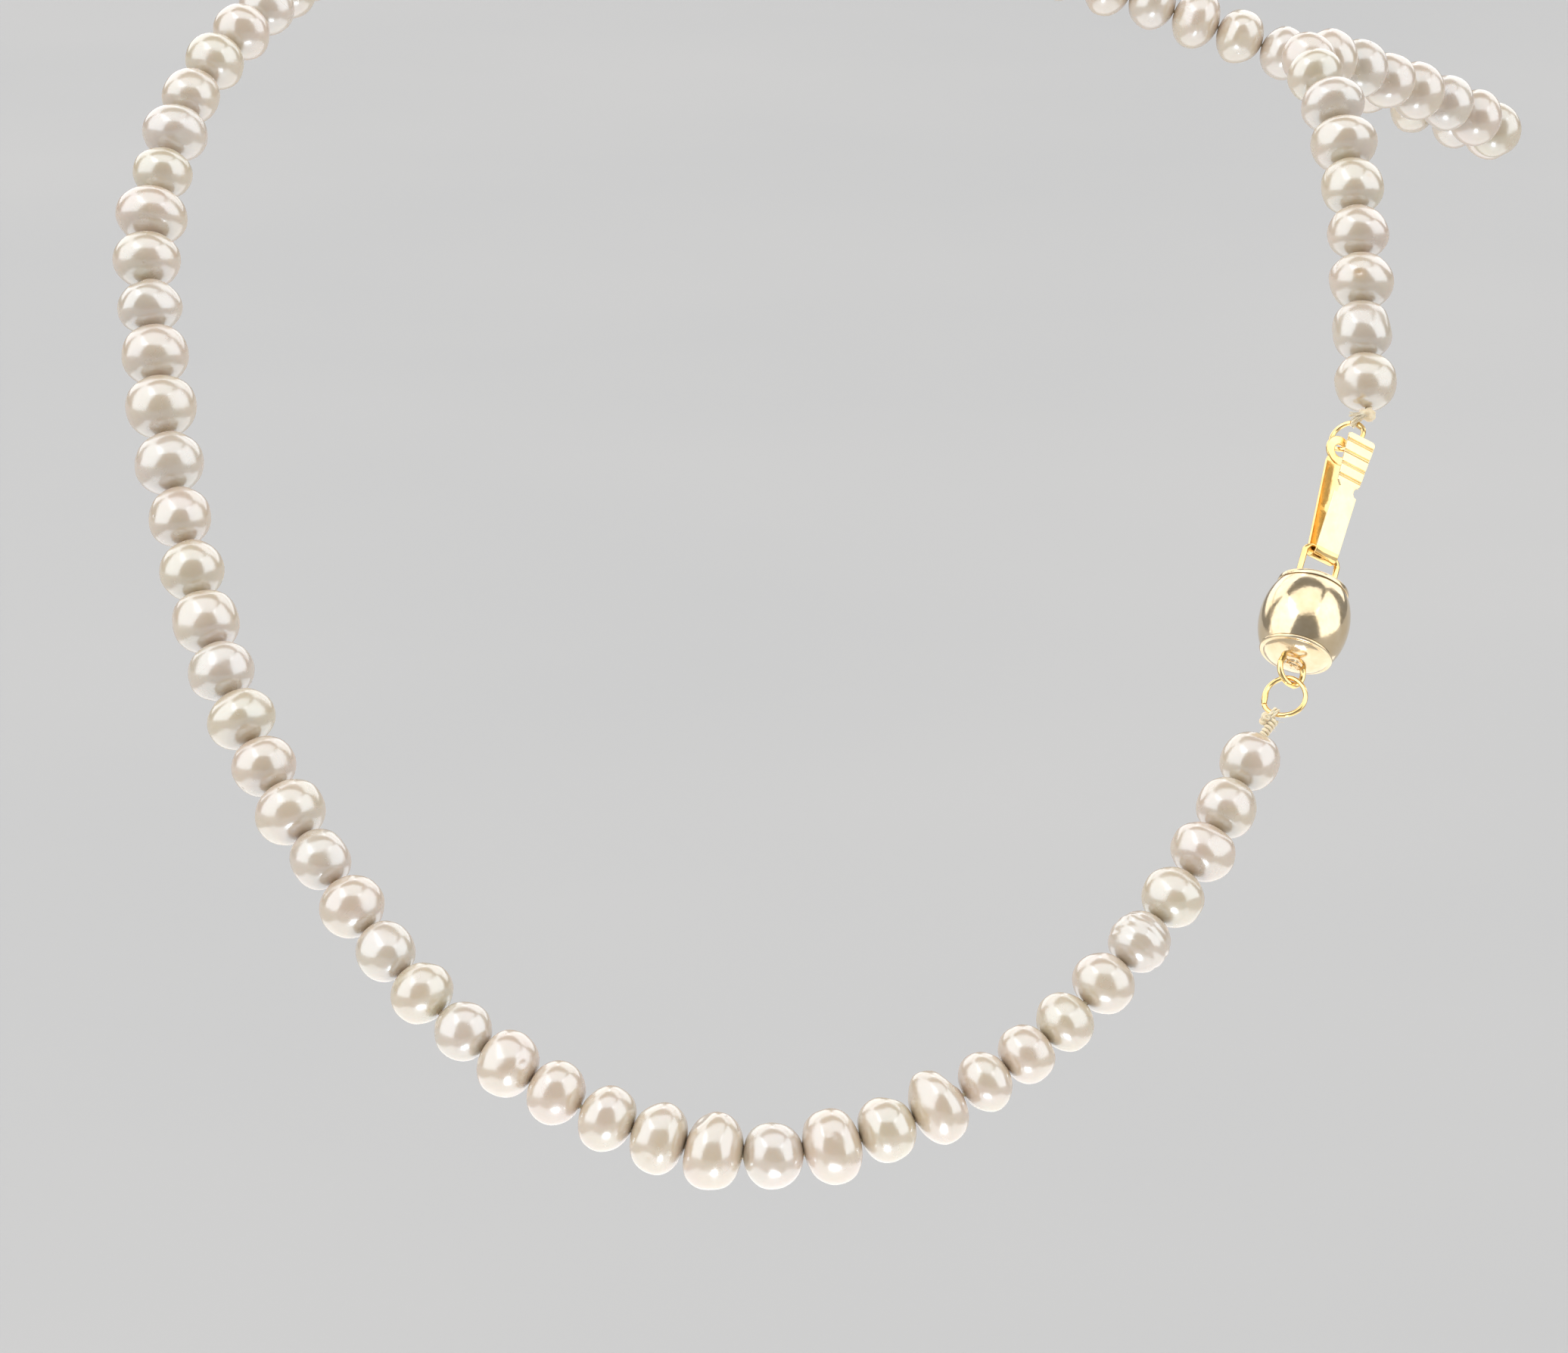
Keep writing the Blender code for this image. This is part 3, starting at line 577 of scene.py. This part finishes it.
def pearl(number):
    """One pearl: a blunt ball of its own size and skew, drilled along the thread, with its own marks."""
    rng = random.Random(number * 7919 + 13)
    half = (GAPS[number] - GAPS[number - 1]).length / 2 - PEARL_GAP / 2
    below = half - (BEND_ROOM if number - 1 in BENDING_GAPS else 0.0)
    above = half - (BEND_ROOM if number in BENDING_GAPS else 0.0)
    girdle = ACROSS[number - 1] / 2
    marks = [(Vector(d).normalized(), spread, height) for d, spread, height in MARKS.get(number, [])]
    fine = bool(marks) or number in CIRCLED
    segments, rows = (72, 46) if fine else (44, 28)
    power = 2.0 / (2.04 if 40 <= number <= 82 else rng.uniform(2.12, 2.36))
    if number - 1 in BENDING_GAPS or number in BENDING_GAPS:
        power = 2.0 / 2.06
    lump = rng.uniform(0.015, 0.055)
    egg = rng.uniform(-0.045, 0.045)
    tilt = rng.uniform(-0.05, 0.05), rng.uniform(-0.05, 0.05)
    depth = rng.uniform(0.93, 1.0)
    seed = Vector((rng.uniform(-50, 50), rng.uniform(-50, 50), rng.uniform(-50, 50)))
    mouth = math.asin((HOLE_RADIUS / girdle) ** (1 / power))
    shape = bmesh.new()
    stain = shape.verts.layers.float.new("stain")
    rings = []
    for row in range(rows):
        theta = mouth + (math.pi - 2 * mouth) * row / (rows - 1)
        radius = girdle * math.sin(theta) ** power
        height = (above if math.cos(theta) > 0 else -below) * abs(math.cos(theta)) ** power
        free = min(1.0, max(0.0, (radius / girdle - 0.12) / 0.5))
        free = free * free * (3 - 2 * free)
        ring = []
        for n in range(segments):
            angle = math.tau * n / segments
            share = radius / girdle
            unit = Vector((share * math.cos(angle), share * math.sin(angle), height / half))
            facing = unit.normalized()
            swell = 1 + free * (lump * noise.noise(facing * 1.15 + seed) * 1.5)
            swell += free * (0.006 * noise.noise(facing * 3.5 + seed) + egg * unit.z)
            for at, width, deep in CIRCLED.get(number, []):
                swell -= deep * 0.28 * math.exp(-(((unit.z - at) / width) ** 2))
            push = 0.0
            dirt = 0.0
            for k, (way, spread, rise) in enumerate(marks):
                off = math.acos(max(-1.0, min(1.0, facing.dot(way))))
                bell = math.exp(-((off / spread) ** 2) * 2)
                push += rise * bell
                if k == 0 and number in STAINED:
                    strength, width = STAINED[number]
                    dirt += strength * math.exp(-((off / width) ** 2) * 3)
            reach = radius * swell
            x = reach * math.cos(angle)
            y = reach * math.sin(angle) * depth
            lean = tilt[0] * math.cos(angle) + tilt[1] * math.sin(angle)
            z = height + free * half * (lean * (1 - abs(unit.z)) + 0.03 * noise.noise(facing * 1.6 - seed))
            spot = Vector((x, y, z)) + facing * push * min(1.0, free * 1.6)
            vert = shape.verts.new(spot)
            rim = max(0.0, 1 - (radius - HOLE_RADIUS) / 0.7)
            patch = max(0.0, noise.noise(facing * 2.0 + seed * 2) - 0.15)
            vert[stain] = min(1.0, 0.55 * rim * rim + dirt + 0.10 * patch)
            ring.append(vert)
        rings.append(ring)
    for level in (-0.97 * below, 0.0, 0.97 * above):
        ring = []
        for n in range(segments):
            angle = math.tau * n / segments
            x = HOLE_RADIUS * 0.9 * math.cos(angle)
            y = HOLE_RADIUS * 0.9 * math.sin(angle) * depth
            vert = shape.verts.new((x, y, level))
            vert[stain] = 0.6
            ring.append(vert)
        rings.append(ring)
    skin(shape, rings, caps=False, looped=True)
    tone = CHOSEN_TONES.get(number, TONES[number % len(TONES)])
    piece = make_piece(f"pearl_{number:02d}_nacre", shape, NACRES[tone], pearl_body(number),
                       pearl_frame(number), sharp=60)
    node = f"pearl_{number:02d}"
    if not 40 <= number <= 82:
        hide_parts(node)
    for run, (first, last) in BACK_RUNS.items():
        if first <= number <= last:
            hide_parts(run)
    return piece


# ---------------------------------------------------------------- thread and knots
# from the heights at which the knots are drawn below to where their rings lie
LOWER_KNOT_SHIFT = Matrix.Translation((0, 0, -1.36))
UPPER_KNOT_SHIFT = Matrix.Translation((0, 0, 4.0))


def thread_stretches():
    """The three-ply thread inside the pearls, one piece for each level that it rides with."""
    for body, stretches in LEVELS.items():
        shape = bmesh.new()
        for first, last in stretches:
            line = catmull(GAPS[first:last + 1], 3)
            twisted(line, 3, 0.12, 0.13, 0.35, shape=shape)
        piece = make_piece(f"thread_{body}", shape, SILK, body)
        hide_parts("silk_thread")


def fibres(shape, rng, starts, ends, count, radius, wander):
    """Loose hairs from one region to another."""
    for _ in range(count):
        a = Vector(rng.choice(starts)) + Vector([rng.uniform(-1, 1) * wander for _ in range(3)])
        b = Vector(rng.choice(ends)) + Vector([rng.uniform(-1, 1) * wander for _ in range(3)])
        middle = (a + b) / 2 + Vector([rng.uniform(-1, 1) * wander for _ in range(3)])
        tube(catmull([a, middle, b], 6), radius, 5, shape=shape)


def knot_curve(centre, size, squash, turns, tip):
    """A tight overhand knot as a closed trefoil line."""
    made = []
    for n in range(72):
        t = math.tau * n / 72
        flat = Vector((math.sin(t) + 2 * math.sin(2 * t), math.sin(3 * t) * squash,
                       math.cos(t) - 2 * math.cos(2 * t))) * size / 3
        made.append(Vector(centre) + Matrix.Rotation(tip, 3, "X") @ (Matrix.Rotation(turns, 3, "Y") @ flat))
    return made


def lower_knot():
    """Thread over the ring's wire, a round knot to the left, and wraps down to the first pearl."""
    shape = bmesh.new()
    ring_bottom = -11.28
    tube(knot_curve((-0.62, -0.10, -12.45), 0.60, 0.85, 0.4, 0.2), 0.27, 10, looped=True, shape=shape)
    bud = [(-0.62, -0.62, -12.45), (-0.45, -0.70, -12.30), (-0.40, -0.66, -12.58), (-0.66, -0.70, -12.70),
           (-0.90, -0.62, -12.50), (-0.80, -0.60, -12.20), (-0.40, -0.50, -12.05)]
    tube(catmull(bud, 8), 0.17, 9, shape=shape)
    for shift in (-0.30, 0.08):
        strand = [(shift - 0.35, 0.25, -12.1), (shift - 0.10, 0.46, ring_bottom - 0.1),
                  (shift + 0.05, 0.30, ring_bottom + 0.48), (shift + 0.05, -0.12, ring_bottom + 0.58),
                  (shift, -0.50, ring_bottom + 0.22), (shift - 0.10, -0.55, ring_bottom - 0.25),
                  (shift - 0.25, -0.45, -12.15)]
        twisted(catmull(strand, 8), 2, 0.09, 0.13, 0.5, shape=shape)
    wraps = []
    for n in range(100):
        t = n / 99
        angle = math.tau * 5.2 * t + 0.6
        wide = 0.48 - 0.14 * t
        wraps.append((0.26 - 0.26 * t + wide * math.cos(angle), wide * math.sin(angle), -11.95 - 2.6 * t))
    tube(wraps, 0.20, 9, shape=shape)
    core = catmull([(0.1, 0, -11.9), (0.18, 0, -12.8), (0.05, 0, -13.9), (0, 0, -15.1)], 8)
    twisted(core, 3, 0.16, 0.17, 0.3, shape=shape)
    rng = random.Random(41)
    fibres(shape, rng, [(0.4, -0.3, -12.2), (-0.2, -0.4, -13.0)], [(1.1, -0.4, -11.6), (0.9, -0.5, -13.2)],
           5, 0.014, 0.3)
    piece = make_piece("knot_lower", shape, SILK, "lower_knot_strand",
                       turned_frame(LOWER_KNOT_FRAME, -LOWER_RING_TURN) @ LOWER_KNOT_SHIFT)
    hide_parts("lower_knot")


def upper_knot():
    """A pressed, half-clear lump of knot under the pearl, frayed towards the ring."""
    shape = bmesh.new()
    bmesh.ops.create_icosphere(shape, subdivisions=4, radius=1.0)
    for vert in shape.verts:
        way = vert.co.normalized()
        bulge = 0.86 + 0.22 * noise.noise(way * 1.6 + Vector((3, 1, 7))) + 0.05 * noise.noise(way * 6)
        vert.co = Vector((way.x * 1.12 + 0.35, way.y * 0.90 - 0.30, way.z * 0.95)) * bulge
        vert.co.z += 25.45
        vert.co.x += 0.25 * (vert.co.z - 25.2)
    ring_top = 23.94
    for shift in (-0.42, -0.08):
        strand = [(shift + 0.1, 0.35, 24.9), (shift, 0.52, ring_top + 0.1),
                  (shift - 0.02, 0.30, ring_top - 0.48), (shift, -0.15, ring_top - 0.58),
                  (shift + 0.02, -0.52, ring_top - 0.15), (shift + 0.15, -0.42, 24.75)]
        twisted(catmull(strand, 8), 2, 0.09, 0.13, 0.5, shape=shape)
    core = catmull([(0.2, 0, 25.2), (0.05, 0, 25.9), (0, 0, 26.9)], 8)
    twisted(core, 3, 0.16, 0.17, 0.3, shape=shape)
    rng = random.Random(7)
    starts = [(0.0, -0.72, 25.1), (0.2, -0.75, 24.8), (-0.3, -0.6, 25.3), (0.3, -0.7, 25.2)]
    ends = [(-1.35, -0.35, 24.35), (-1.2, -0.45, 24.0), (-0.8, -0.55, 23.8), (-0.2, -0.6, 23.5)]
    fibres(shape, rng, starts, ends, 46, 0.022, 0.16)
    fibres(shape, rng, [(0.9, -0.4, 25.2), (0.8, -0.5, 24.9)], [(1.35, -0.5, 25.0), (1.25, -0.5, 25.4)],
           5, 0.014, 0.12)
    piece = make_piece("knot_upper", shape, SILK, "clasp_top_strand",
                       turned_frame(UPPER_KNOT_FRAME, -UPPER_RING_TURN) @ UPPER_KNOT_SHIFT)
    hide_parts("upper_knot")


# ---------------------------------------------------------------- clasp
BALL_RADIUS = 5.3
BARREL_HALF_HEIGHT = 4.12
BARREL_CORE = 2.0
BARREL_EDGE = math.radians(48.19)
BARREL_WALL = 0.5
EYE_RADIUS = 1.8
EYE_Z = -6.6
EYE_TURN = math.radians(30)
LEAF_SHARP = 30
BAIL_WIRE = 0.36
BAIL_HALF_WIDTH = 2.4
RING_WIRE = 0.29
FOLD_RADIUS = 0.93
LEAF_THICKNESS = 0.35
LEAF_HALF_WIDTH = 1.6
THUMB_TOP_Z = 23.6
THUMB_FOOT_Z = 17.8
THUMB_FORWARD = 4.4
BAR_TOP_Z = 22.2


def ball_barrel():
    """The hollow shell: a ball cut flat at both ends."""
    steps = 32
    outer = []
    for n in range(steps + 1):
        angle = BARREL_EDGE * (1 - 2 * n / steps)
        height = BARREL_HALF_HEIGHT * math.sin(angle) / math.sin(BARREL_EDGE)
        outer.append((BARREL_CORE + (BALL_RADIUS - BARREL_CORE) * math.cos(angle), height))
    inner = [(r - BARREL_WALL, z) for r, z in reversed(outer[::4])]
    piece = make_piece("ball_barrel", turned(outer + inner, 128), GOLD_BALL, "ball_link",
                       clasp_matrix())
    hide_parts("ball_shell")


def ball_top_plate():
    """The lid with its raised rim and the slot that takes the tongue."""
    outline = [(0.02, 4.85), (3.2, 4.79), (3.55, 4.83), (3.86, 4.93, 0.12), (4.26, 4.75, 0.2),
               (4.28, 4.18, 0.12), (3.5, 4.18), (3.4, 4.4), (0.02, 4.4)]
    shape = turned(rounded(outline, 0.08), 128)
    plate = make_piece("ball_top_plate", shape, GOLD_BALL, None, clasp_matrix(TONGUE_TURN))
    half = LEAF_HALF_WIDTH + 0.28
    corners = rounded([(-half, -0.85), (half, -0.85), (half, 1.15), (-half, 1.15)], 0.3)
    hole = bmesh.new()
    rings = [[hole.verts.new((x, y, z)) for x, y in corners] for z in (3.7, 5.8)]
    skin(hole, rings)
    cutter = make_piece("slot_cutter", hole, GOLD_BALL, None, clasp_matrix(TONGUE_TURN))
    change = plate.modifiers.new("slot", "BOOLEAN")
    change.operation = "DIFFERENCE"
    change.solver = "EXACT"
    change.object = cutter
    keep_shape(plate)
    bpy.data.objects.remove(cutter)
    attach(plate, "ball_link")
    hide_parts("ball_top_cap")


def keep_shape(piece):
    """Applies a piece's modifiers."""
    graph = bpy.context.evaluated_depsgraph_get()
    made = bpy.data.meshes.new_from_object(piece.evaluated_get(graph))
    piece.modifiers.clear()
    piece.data = made
    made.shade_smooth()
    made.set_sharp_from_angle(angle=math.radians(40))


def ball_bottom_plate():
    """The stepped foot: a bead, a groove and a low dome."""
    outline = [(0.02, -4.18), (3.7, -4.18), (4.28, -4.18, 0.1), (4.36, -4.42, 0.15), (4.14, -4.66, 0.15),
               (3.86, -4.62, 0.06), (3.66, -4.84, 0.15), (3.2, -5.18, 0.6), (2.4, -5.52, 0.8),
               (1.5, -5.70, 0.4), (1.08, -5.74, 0.1), (0.95, -5.92, 0.15), (0.55, -6.0, 0.2),
               (0.02, -6.02)]
    piece = make_piece("ball_bottom_plate", turned(rounded(outline, 0.1), 128), GOLD_BALL, "ball_link",
                       clasp_matrix())
    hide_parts("ball_bottom_cap")


def catch_wire():
    """The bail: a wire bridge with rounded shoulders that the tongue hooks under."""
    corner = 1.05
    inner = BAIL_HALF_WIDTH - corner
    left = circle(corner, BAIL_TOP - corner, 180, 90, 12)
    right = circle(corner, BAIL_TOP - corner, 90, 0, 12)
    points = [(-BAIL_HALF_WIDTH - 0.06, 0, 4.5)]
    points += [(x - inner, y, z) for x, y, z in left] + [(x + inner, y, z) for x, y, z in right]
    points += [(BAIL_HALF_WIDTH + 0.06, 0, 4.5)]
    piece = make_piece("catch_wire", tube(catmull(points, 3), BAIL_WIRE, 20), GOLD_POLISHED, "ball_link",
                       clasp_matrix(TONGUE_TURN))
    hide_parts("catch_bail")


def ball_eye():
    """The wire eye under the ball: bent to a loop whose two cut ends all but meet at its foot."""
    shape = bmesh.new()
    root = 0.42
    left = [(-root, 0.0, -5.2)] + circle(EYE_RADIUS, EYE_Z, 138, 292, 26)
    right = circle(EYE_RADIUS, EYE_Z, 300, 402, 18) + [(root, 0.0, -5.2)]
    for n, (x, _, z) in enumerate(left):
        left[n] = (x, -0.16 * n / len(left), z)
    for n, (x, _, z) in enumerate(right):
        right[n] = (x, 0.14 * (1 - n / len(right)), z)
    tube(catmull(left, 3), BAIL_WIRE, 18, shape=shape)
    tube(catmull(right, 3), BAIL_WIRE, 18, shape=shape)
    piece = make_piece("ball_eye", shape, GOLD_POLISHED, "ball_link",
                       clasp_matrix(EYE_TURN))
    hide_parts("ball_eye_loop")
    solder = bmesh.new()
    bmesh.ops.create_icosphere(solder, subdivisions=4, radius=1.0)
    for vert in solder.verts:
        way = vert.co.normalized()
        bulge = 1 + 0.30 * noise.noise(way * 2.2 + Vector((5, 2, 1)))
        vert.co = Vector((way.x * 1.05, way.y * 0.62, way.z * 0.36)) * bulge + Vector((0, 0, -5.86))
    make_piece("eye_solder", solder, GOLD_BALL, "ball_link", clasp_matrix(EYE_TURN))


def ring(name, node, body, z, radius, frame, stretch, flat_at, cut_at):
    """A jump ring pulled out of round, flattened at one side where it was nipped shut."""
    points = []
    radii = []
    steps = 96
    for n in range(steps + 1):
        angle = math.radians(cut_at + 2.2) + (math.tau - math.radians(4.4)) * n / steps
        squeeze = math.exp(-((math.remainder(angle - math.radians(flat_at), math.tau) / 0.42) ** 2))
        size = radius * (1 - 0.09 * squeeze)
        wide = 1 - 0.10 * math.sin(angle) * stretch
        points.append((size * math.cos(angle) * wide, 0, z + size * math.sin(angle)))
        radii.append(RING_WIRE * (1 + 0.30 * squeeze))
    piece = make_piece(name, tube(points, radii, 18, round_ends=False), GOLD_POLISHED, body,
                       frame)
    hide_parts(node)


def leaf_y(z, front):
    """How far back a leaf's middle is: the fold's radius at the bail, then slanting."""
    rise = z - BAIL_TOP
    if front:
        return -(FOLD_RADIUS + (THUMB_FORWARD - FOLD_RADIUS) * rise / (THUMB_TOP_Z - BAIL_TOP))
    return FOLD_RADIUS - FOLD_RADIUS * rise / (TONGUE_EYE_Z - BAIL_TOP)


def strip(rows):
    """A flat bar with softened edges. Each row: (y, z), thickness direction, left, right, outer lift."""
    shape = bmesh.new()
    half = LEAF_THICKNESS / 2
    soft = 0.11
    rings = []
    for (y, z), (ny, nz), left, right, lift in rows:
        section = []
        for x, sign in ((right, 1), (left, -1)):
            edge = [(x - sign * soft * (1 - c), half - soft * (1 - s)) for c, s in
                    ((0.0, 1.0), (0.5, 0.87), (0.87, 0.5), (1.0, 0.0))]
            low = [(a, -b) for a, b in reversed(edge)]
            section.append((edge, low))
        (right_edge, right_low), (left_edge, left_low) = section
        loop = right_edge + right_low + list(reversed(left_low)) + list(reversed(left_edge))
        ring_verts = []
        for x, t in loop:
            reach = t + (lift if t > 0 else 0.0)
            ring_verts.append(shape.verts.new((x, y + ny * reach, z + nz * reach)))
        rings.append(ring_verts)
    skin(shape, rings)
    return shape


def groove(z):
    """The thumb piece's four double grooves, each with a fine bead between."""
    lift = 0.0
    for n in range(4):
        off = z - (THUMB_TOP_Z - 0.87 - 1.42 * n)
        lift -= 0.11 * math.exp(-(((off - 0.13) / 0.055) ** 2))
        lift -= 0.08 * math.exp(-(((off + 0.13) / 0.05) ** 2))
        lift += 0.05 * math.exp(-((off / 0.07) ** 2))
    return lift


def front_outline(z):
    """Left and right edge of the front leaf at a height."""
    if z >= THUMB_FOOT_Z:
        share = (z - THUMB_FOOT_Z) / (THUMB_TOP_Z - THUMB_FOOT_Z)
        half = 1.575 + 0.375 * share
        left, right = -half, half
        from_top = THUMB_TOP_Z - z
        if from_top < 0.45:
            right -= 0.45 - math.sqrt(max(0.0, 0.45 ** 2 - (0.45 - from_top) ** 2))
        if from_top < 0.2:
            left += 0.2 - math.sqrt(max(0.0, 0.2 ** 2 - (0.2 - from_top) ** 2))
        if z < THUMB_FOOT_Z + 0.35:
            right -= 0.25 * (1 - (z - THUMB_FOOT_Z) / 0.35) ** 2
        return left, right
    down = THUMB_FOOT_Z - z
    left, right = -LEAF_HALF_WIDTH, LEAF_HALF_WIDTH
    if down < 1.45:
        if down < 0.55:
            left = -1.55 + 0.50 * (down / 0.55)
        elif down < 1.35:
            left = -1.05 - 0.12 * (down - 0.55) / 0.8
        else:
            left = -1.17 - 0.43 * (down - 1.35) / 0.10
    off = (down - 0.62) / 0.62
    if abs(off) < 1:
        right = LEAF_HALF_WIDTH - 0.62 * math.sqrt(1 - off * off)
    return left, right


def tongue_front():
    """The sprung leaf from the fold up to the thumb piece, its foot meeting the fold. It is baked in place
    and rides on no body.
    """
    slope = (leaf_y(THUMB_TOP_Z, True) - leaf_y(BAIL_TOP, True)) / (THUMB_TOP_Z - BAIL_TOP)
    across = Vector((-1.0, slope)).normalized()
    heights = [BAIL_TOP + 0.02 + 0.3 * n for n in range(20)]
    z = THUMB_FOOT_Z - 1.6
    while z < THUMB_TOP_Z:
        heights.append(z)
        z += 0.03
    heights.append(THUMB_TOP_Z)
    rows = []
    for z in heights:
        left, right = front_outline(z)
        rows.append(((leaf_y(z, True), z), across, left, right, groove(z) if z > THUMB_FOOT_Z - 0.2 else 0.0))
    piece = make_piece("tongue_front", strip(rows), GOLD_LEAF, None, TONGUE_FRAME,
                       sharp=LEAF_SHARP)
    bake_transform(piece)
    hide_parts("tongue_spring_leaf")


def tongue_base():
    """The rear leaf: an eye on the upper ring, a plain bar, and the fold under the catch wire."""
    rows = []
    slope = (leaf_y(BAR_TOP_Z, False) - leaf_y(BAIL_TOP, False)) / (BAR_TOP_Z - BAIL_TOP)
    across = Vector((1.0, -slope)).normalized()
    for n in range(24):
        z = BAR_TOP_Z - (BAR_TOP_Z - BAIL_TOP) * n / 24
        inset = 0.25 * max(0.0, z - BAR_TOP_Z + 0.75) ** 2
        rows.append(((leaf_y(z, False), z), across, -LEAF_HALF_WIDTH + inset, LEAF_HALF_WIDTH - inset, 0.0))
    for n in range(25):
        angle = math.radians(-180 * n / 24)
        way = (math.cos(angle), math.sin(angle))
        centre = (FOLD_RADIUS * way[0], BAIL_TOP + FOLD_RADIUS * way[1])
        rows.append((centre, way, -LEAF_HALF_WIDTH, LEAF_HALF_WIDTH, 0.0))
    bar = make_piece("tongue_base", strip(rows), GOLD_POLISHED, None, TONGUE_FRAME,
                     sharp=LEAF_SHARP)
    half = LEAF_THICKNESS / 2
    washer = turned(rounded([(1.9, half), (1.9, -half), (0.78, -half), (0.78, half)], 0.12), 72)
    upright = Matrix.Translation((0, 0, TONGUE_EYE_Z)) @ Matrix.Rotation(math.radians(90), 4, "X")
    eye = make_piece("tongue_eye", washer, GOLD_POLISHED, None,
                     TONGUE_FRAME @ upright)
    change = bar.modifiers.new("eye", "BOOLEAN")
    change.operation = "UNION"
    change.solver = "EXACT"
    change.object = eye
    keep_shape(bar)
    bpy.data.objects.remove(eye)
    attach(bar, "tongue_link")
    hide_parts("tongue_base_leaf")


# ---------------------------------------------------------------- stage, light and camera
CENTRE = Vector((0.0, -0.093, -0.054))
FLOOR_Z = -0.30
# half the floor's side: as far as the panels light it evenly
FLOOR_REACH = 3.4
CAMERA_PLACE = (0.002, -0.7216, 0.1020)
CAMERA_TILT = math.radians(74)
CAMERA_LENS = 124.9
AMBIENT = 0.30


def softbox(name, azimuth, elevation, distance, width, height, radiance):
    """A soft panel that faces the strand. Azimuth 0 is the camera's side and 90 its right."""
    a, e = math.radians(azimuth), math.radians(elevation)
    away = Vector((math.sin(a) * math.cos(e), -math.cos(a) * math.cos(e), math.sin(e)))
    data = bpy.data.lights.new(name, "AREA")
    data.shape = "RECTANGLE"
    data.size, data.size_y = width, height
    data.energy = radiance * math.pi * width * height
    lamp = bpy.data.objects.new(name, data)
    lamp.location = CENTRE + away * distance
    lamp.rotation_euler = away.to_track_quat("Z", "Y").to_euler()
    lamp.visible_camera = False
    bpy.context.scene.collection.objects.link(lamp)


def light_scene():
    """Two wide keys well to the sides, a top panel, two rear panels and one small low highlight."""
    softbox("key_left", -70, 27, 3.20, 4.20, 4.60, 1.65)
    softbox("key_right", 72, 20, 3.40, 3.80, 4.20, 1.65)
    softbox("top", 0, 74, 3.60, 4.80, 3.20, 1.35)
    softbox("low_front", 3, -44, 0.30, 0.085, 0.055, 11.0)
    softbox("from_below", 0, -89, 0.235, 0.60, 0.50, 0.85)
    softbox("rear_left", -150, 30, 4.00, 3.60, 3.60, 1.5)
    softbox("rear_right", 150, 30, 4.00, 3.60, 3.60, 1.5)
    world = bpy.data.worlds.new("studio")
    bpy.context.scene.world = world
    world.use_nodes = True
    world.node_tree.nodes["Background"].inputs["Color"].default_value = (1.0, 1.0, 1.0, 1.0)
    world.node_tree.nodes["Background"].inputs["Strength"].default_value = AMBIENT


def set_stage():
    mesh = bpy.data.meshes.new("floor")
    corners = [(x * FLOOR_REACH, y * FLOOR_REACH, FLOOR_Z) for x, y in ((-1, -1), (1, -1), (1, 1), (-1, 1))]
    mesh.from_pydata(corners, [], [(0, 1, 2, 3)])
    mesh.materials.append(floor_material())
    floor = bpy.data.objects.new("floor", mesh)
    bpy.context.scene.collection.objects.link(floor)


def set_camera():
    data = bpy.data.cameras.new("camera")
    data.sensor_width = 36.0
    data.lens = CAMERA_LENS
    data.clip_start = 0.01
    camera = bpy.data.objects.new("camera", data)
    camera.location = CAMERA_PLACE
    camera.rotation_euler = (CAMERA_TILT, 0.0, 0.0)
    bpy.context.scene.collection.objects.link(camera)
    bpy.context.scene.camera = camera


def main():
    set_camera()
    for number in range(1, PEARL_COUNT + 1):
        pearl(number)
    thread_stretches()
    lower_knot()
    upper_knot()
    ball_barrel()
    ball_top_plate()
    ball_bottom_plate()
    catch_wire()
    ball_eye()
    ring("ring_lower", "lower_jump_ring", "lower_ring_link", LOWER_RING_Z, LOWER_RING_RADIUS,
         LOWER_RING_FRAME, 1.0, 190, 215)
    ring("ring_upper", "upper_jump_ring", "upper_ring_link", UPPER_RING_Z, UPPER_RING_RADIUS,
         UPPER_RING_FRAME, 0.0, 60, 100)
    tongue_base()
    tongue_front()
    set_stage()
    light_scene()
    bpy.context.scene.view_settings.view_transform = "Standard"


main()
